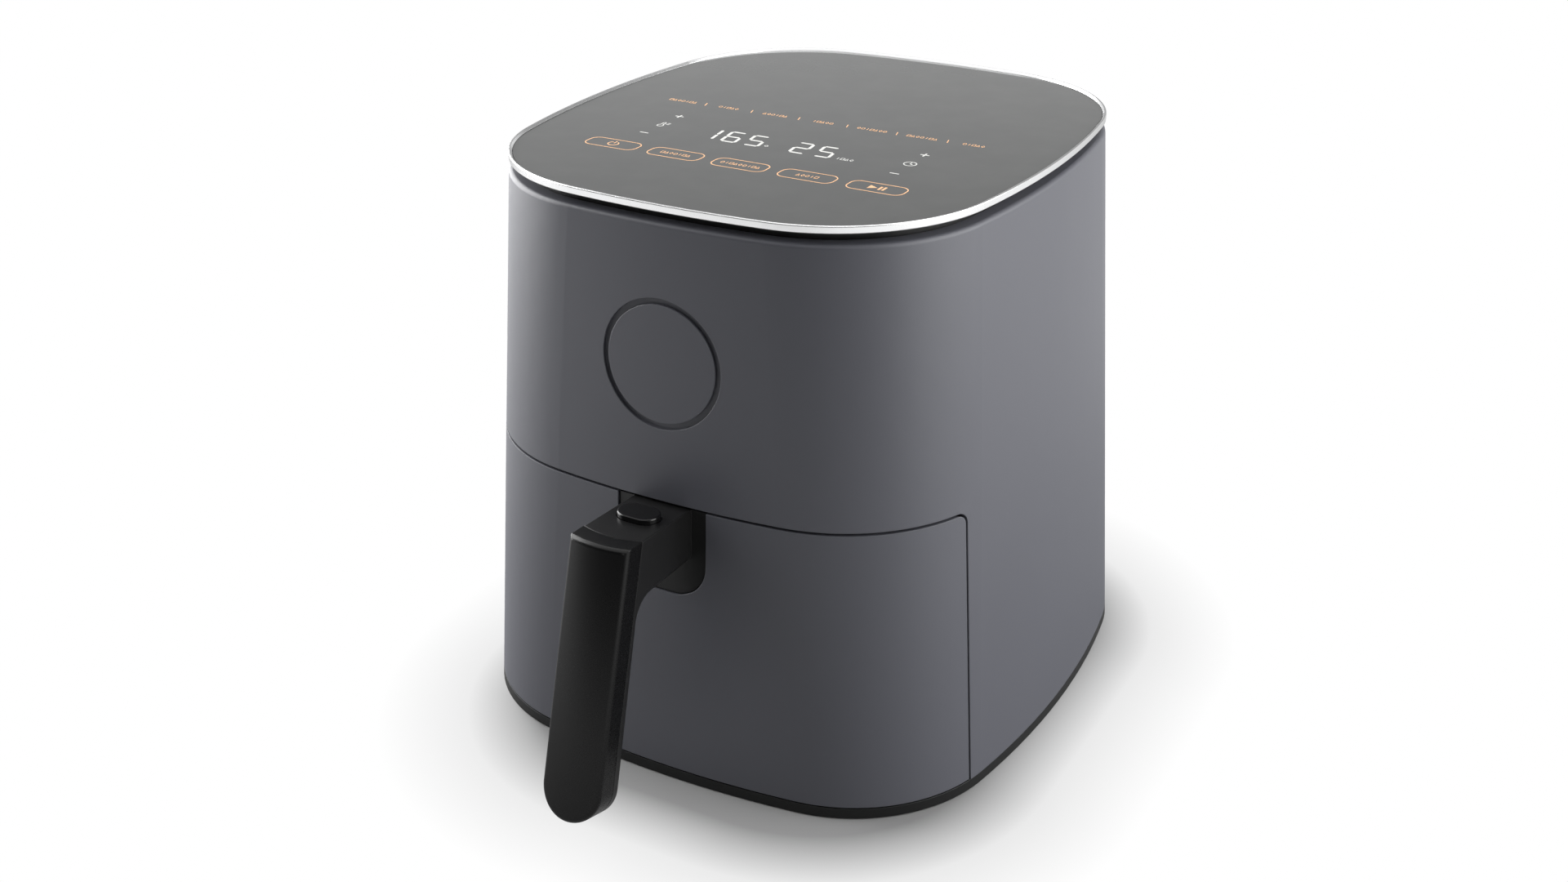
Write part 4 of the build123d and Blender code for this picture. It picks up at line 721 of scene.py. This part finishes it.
# the camera's place and target are measured from the middle of the panel's plan
cameraSpec = {"place": (0.4126, -0.7715, 0.5382), "target": (-0.0093, -0.0165, 0.1214), "lens": 41.97,
              "sensor": 36.0}
floorSpec = {"size": 14.0, "colour": (0.34, 0.34, 0.34), "core": (0.032, 0.066, 0.0), "round": 0.09,
             "lead": (0.014, -0.016), "shadow": 0.036, "shadowGlow": 0.76, "clear": 0.082,
             "mirrorNear": 0.2, "mirrorFar": 0.5, "dim": (-1.35, -0.9)}
worldSpec = {"ambient": 0.14, "frontGlow": 0.04, "frontEdge": -0.4, "sideEdge": 0.5, "ceiling": 0.3,
             "ceilingRise": (0.12, 0.35), "overheadRise": (0.5, 0.68)}
lampSpecs = [
    {"name": "rightBox", "place": (1.4, 0.32, 0.70), "target": (0.05, 0.04, 0.3), "size": (1.9, 1.45),
     "power": 34.0},
    {"name": "leftBox", "place": (-1.3, 0.08, 0.64), "target": (-0.1, 0.04, 0.3), "size": (1.7, 1.45),
     "power": 50.0},
    {"name": "topBox", "place": (0.0, 0.6, 1.8), "target": (0.0, 0.04, 0.2), "size": (1.6, 1.2), "power": 8.0},
]


def aim(thing, place, target):
    thing.location = place
    thing.rotation_euler = (Vector(target) - Vector(place)).to_track_quat("-Z", "Y").to_euler()


def rayMask(tree):
    # camera, glossy and transmission rays see the white surroundings
    path = addNode(tree, "ShaderNodeLightPath")
    seen = mathNode(tree, "MAXIMUM", path.outputs["Is Camera Ray"], path.outputs["Is Glossy Ray"])
    return mathNode(tree, "MAXIMUM", seen, path.outputs["Is Transmission Ray"])


def makeFloor():
    mesh = bmesh.new()
    bmesh.ops.create_grid(mesh, x_segments=8, y_segments=8, size=floorSpec["size"] / 2)
    data = bpy.data.meshes.new("floor")
    mesh.to_mesh(data)
    mesh.free()
    floor = bpy.data.objects.new("floor", data)
    bpy.context.scene.collection.objects.link(floor)
    material, tree, shader = startMaterial("paleFloor")
    tree.nodes.remove(shader)
    diffuse = addNode(tree, "ShaderNodeBsdfDiffuse")
    diffuse.inputs["Color"].default_value = (*floorSpec["colour"], 1.0)
    white = addNode(tree, "ShaderNodeEmission")
    # distance from the rounded foot of the body, over which the white comes up out of the shadow; near the
    # foot only the grey diffuse floor shows, so the dark halo there is partly the real cast shadow and partly
    # a painted shadow, set off from the middle by lead
    place = addNode(tree, "ShaderNodeVectorMath", operation="SUBTRACT")
    place.inputs[1].default_value = (floorSpec["lead"][0], panelMiddle.y + floorSpec["lead"][1], 0.0)
    tree.links.new(addNode(tree, "ShaderNodeTexCoord").outputs["Object"], place.inputs[0])
    folded = addNode(tree, "ShaderNodeVectorMath", operation="ABSOLUTE")
    tree.links.new(place.outputs["Vector"], folded.inputs[0])
    beyond = addNode(tree, "ShaderNodeVectorMath", operation="SUBTRACT")
    beyond.inputs[1].default_value = floorSpec["core"]
    tree.links.new(folded.outputs["Vector"], beyond.inputs[0])
    outside = addNode(tree, "ShaderNodeVectorMath", operation="MAXIMUM")
    tree.links.new(beyond.outputs["Vector"], outside.inputs[0])
    reach = addNode(tree, "ShaderNodeVectorMath", operation="LENGTH")
    tree.links.new(outside.outputs["Vector"], reach.inputs[0])
    distance = mathNode(tree, "SUBTRACT", reach.outputs["Value"], floorSpec["round"])
    path = addNode(tree, "ShaderNodeLightPath")
    # painted shadow: the white is held back near the foot and rises over the shadow reach
    rise = rangeNode(tree, distance, 0.0, floorSpec["shadow"], 0.0, floorSpec["shadowGlow"])
    leftOver = 1.0 - floorSpec["shadowGlow"]
    rest = rangeNode(tree, distance, floorSpec["shadow"], floorSpec["clear"], 0.0, leftOver)
    direct = mathNode(tree, "MAXIMUM", path.outputs["Is Camera Ray"], path.outputs["Is Transmission Ray"])
    seen = mathNode(tree, "MULTIPLY", mathNode(tree, "ADD", rise, rest), direct)
    mirrored = mathNode(tree, "MULTIPLY", path.outputs["Is Glossy Ray"],
                        rangeNode(tree, distance, floorSpec["mirrorNear"], floorSpec["mirrorFar"], 0.0, 1.0))
    split = addNode(tree, "ShaderNodeSeparateXYZ")
    tree.links.new(place.outputs["Vector"], split.inputs[0])
    ahead = rangeNode(tree, split.outputs["Y"], *floorSpec["dim"], worldSpec["frontGlow"], 1.0)
    unmirrored = mathNode(tree, "SUBTRACT", 1.0, path.outputs["Is Glossy Ray"])
    tree.links.new(mathNode(tree, "MAXIMUM", ahead, unmirrored), white.inputs["Strength"])
    mix = addNode(tree, "ShaderNodeMixShader")
    tree.links.new(mathNode(tree, "ADD", seen, mirrored), mix.inputs[0])
    tree.links.new(diffuse.outputs[0], mix.inputs[1])
    tree.links.new(white.outputs[0], mix.inputs[2])
    tree.links.new(mix.outputs[0], tree.nodes["Material Output"].inputs["Surface"])
    data.materials.append(material)


def makeWorld():
    world = bpy.data.worlds.new("studio")
    bpy.context.scene.world = world
    world.use_nodes = True
    tree = world.node_tree
    light = tree.nodes["Background"]
    light.inputs["Color"].default_value = (1.0, 1.0, 1.0, 1.0)
    light.inputs["Strength"].default_value = worldSpec["ambient"]
    white = addNode(tree, "ShaderNodeBackground")
    white.inputs["Color"].default_value = (1.0, 1.0, 1.0, 1.0)
    # mirrored room: dim behind the camera and under the ceiling, white at the far side and overhead
    split = addNode(tree, "ShaderNodeSeparateXYZ")
    tree.links.new(addNode(tree, "ShaderNodeTexCoord").outputs["Generated"], split.inputs[0])
    walls = rangeNode(tree, split.outputs["Y"], worldSpec["frontEdge"], worldSpec["sideEdge"],
                      worldSpec["frontGlow"], 1.0)
    ceiling = rangeNode(tree, split.outputs["Z"], *worldSpec["ceilingRise"], 1.0, worldSpec["ceiling"])
    overhead = rangeNode(tree, split.outputs["Z"], *worldSpec["overheadRise"], 0.0, 1.0)
    room = mathNode(tree, "MAXIMUM", mathNode(tree, "MULTIPLY", walls, ceiling), overhead)
    path = addNode(tree, "ShaderNodeLightPath")
    tree.links.new(mathNode(tree, "MAXIMUM", room, path.outputs["Is Camera Ray"]), white.inputs["Strength"])
    mix = addNode(tree, "ShaderNodeMixShader")
    tree.links.new(rayMask(tree), mix.inputs[0])
    tree.links.new(light.outputs[0], mix.inputs[1])
    tree.links.new(white.outputs[0], mix.inputs[2])
    tree.links.new(mix.outputs[0], tree.nodes["World Output"].inputs["Surface"])


def makeLamps():
    # the panel takes the same light as the rest but mirrors no soft box as a white sheet
    others = bpy.data.collections.new("allButPanel")
    others.objects.link(nodes["top_panel"])
    others.collection_objects[0].light_linking.link_state = "EXCLUDE"
    panelOnly = bpy.data.collections.new("panelOnly")
    panelOnly.objects.link(nodes["top_panel"])
    for spec in lampSpecs:
        for ending, lit, mirrored in (("", others, True), ("Panel", panelOnly, False)):
            name = spec["name"] + ending
            lamp = bpy.data.lights.new(name, "AREA")
            lamp.shape = "RECTANGLE"
            lamp.size, lamp.size_y = spec["size"]
            lamp.energy = spec["power"]
            holder = bpy.data.objects.new(name, lamp)
            bpy.context.scene.collection.objects.link(holder)
            holder.visible_camera = False
            holder.visible_glossy = mirrored
            holder.light_linking.receiver_collection = lit
            aim(holder, spec["place"], spec["target"])


def makeCamera():
    camera = bpy.data.cameras.new("photoView")
    camera.lens = cameraSpec["lens"]
    camera.sensor_width = cameraSpec["sensor"]
    holder = bpy.data.objects.new("photoView", camera)
    bpy.context.scene.collection.objects.link(holder)
    middle = Vector((0.0, panelMiddle.y, 0.0))
    aim(holder, middle + Vector(cameraSpec["place"]), middle + Vector(cameraSpec["target"]))
    bpy.context.scene.camera = holder


makeFloor()
makeWorld()
makeLamps()
makeCamera()
bpy.context.scene.view_settings.view_transform = "Standard"
print("stage, lamps and camera set")
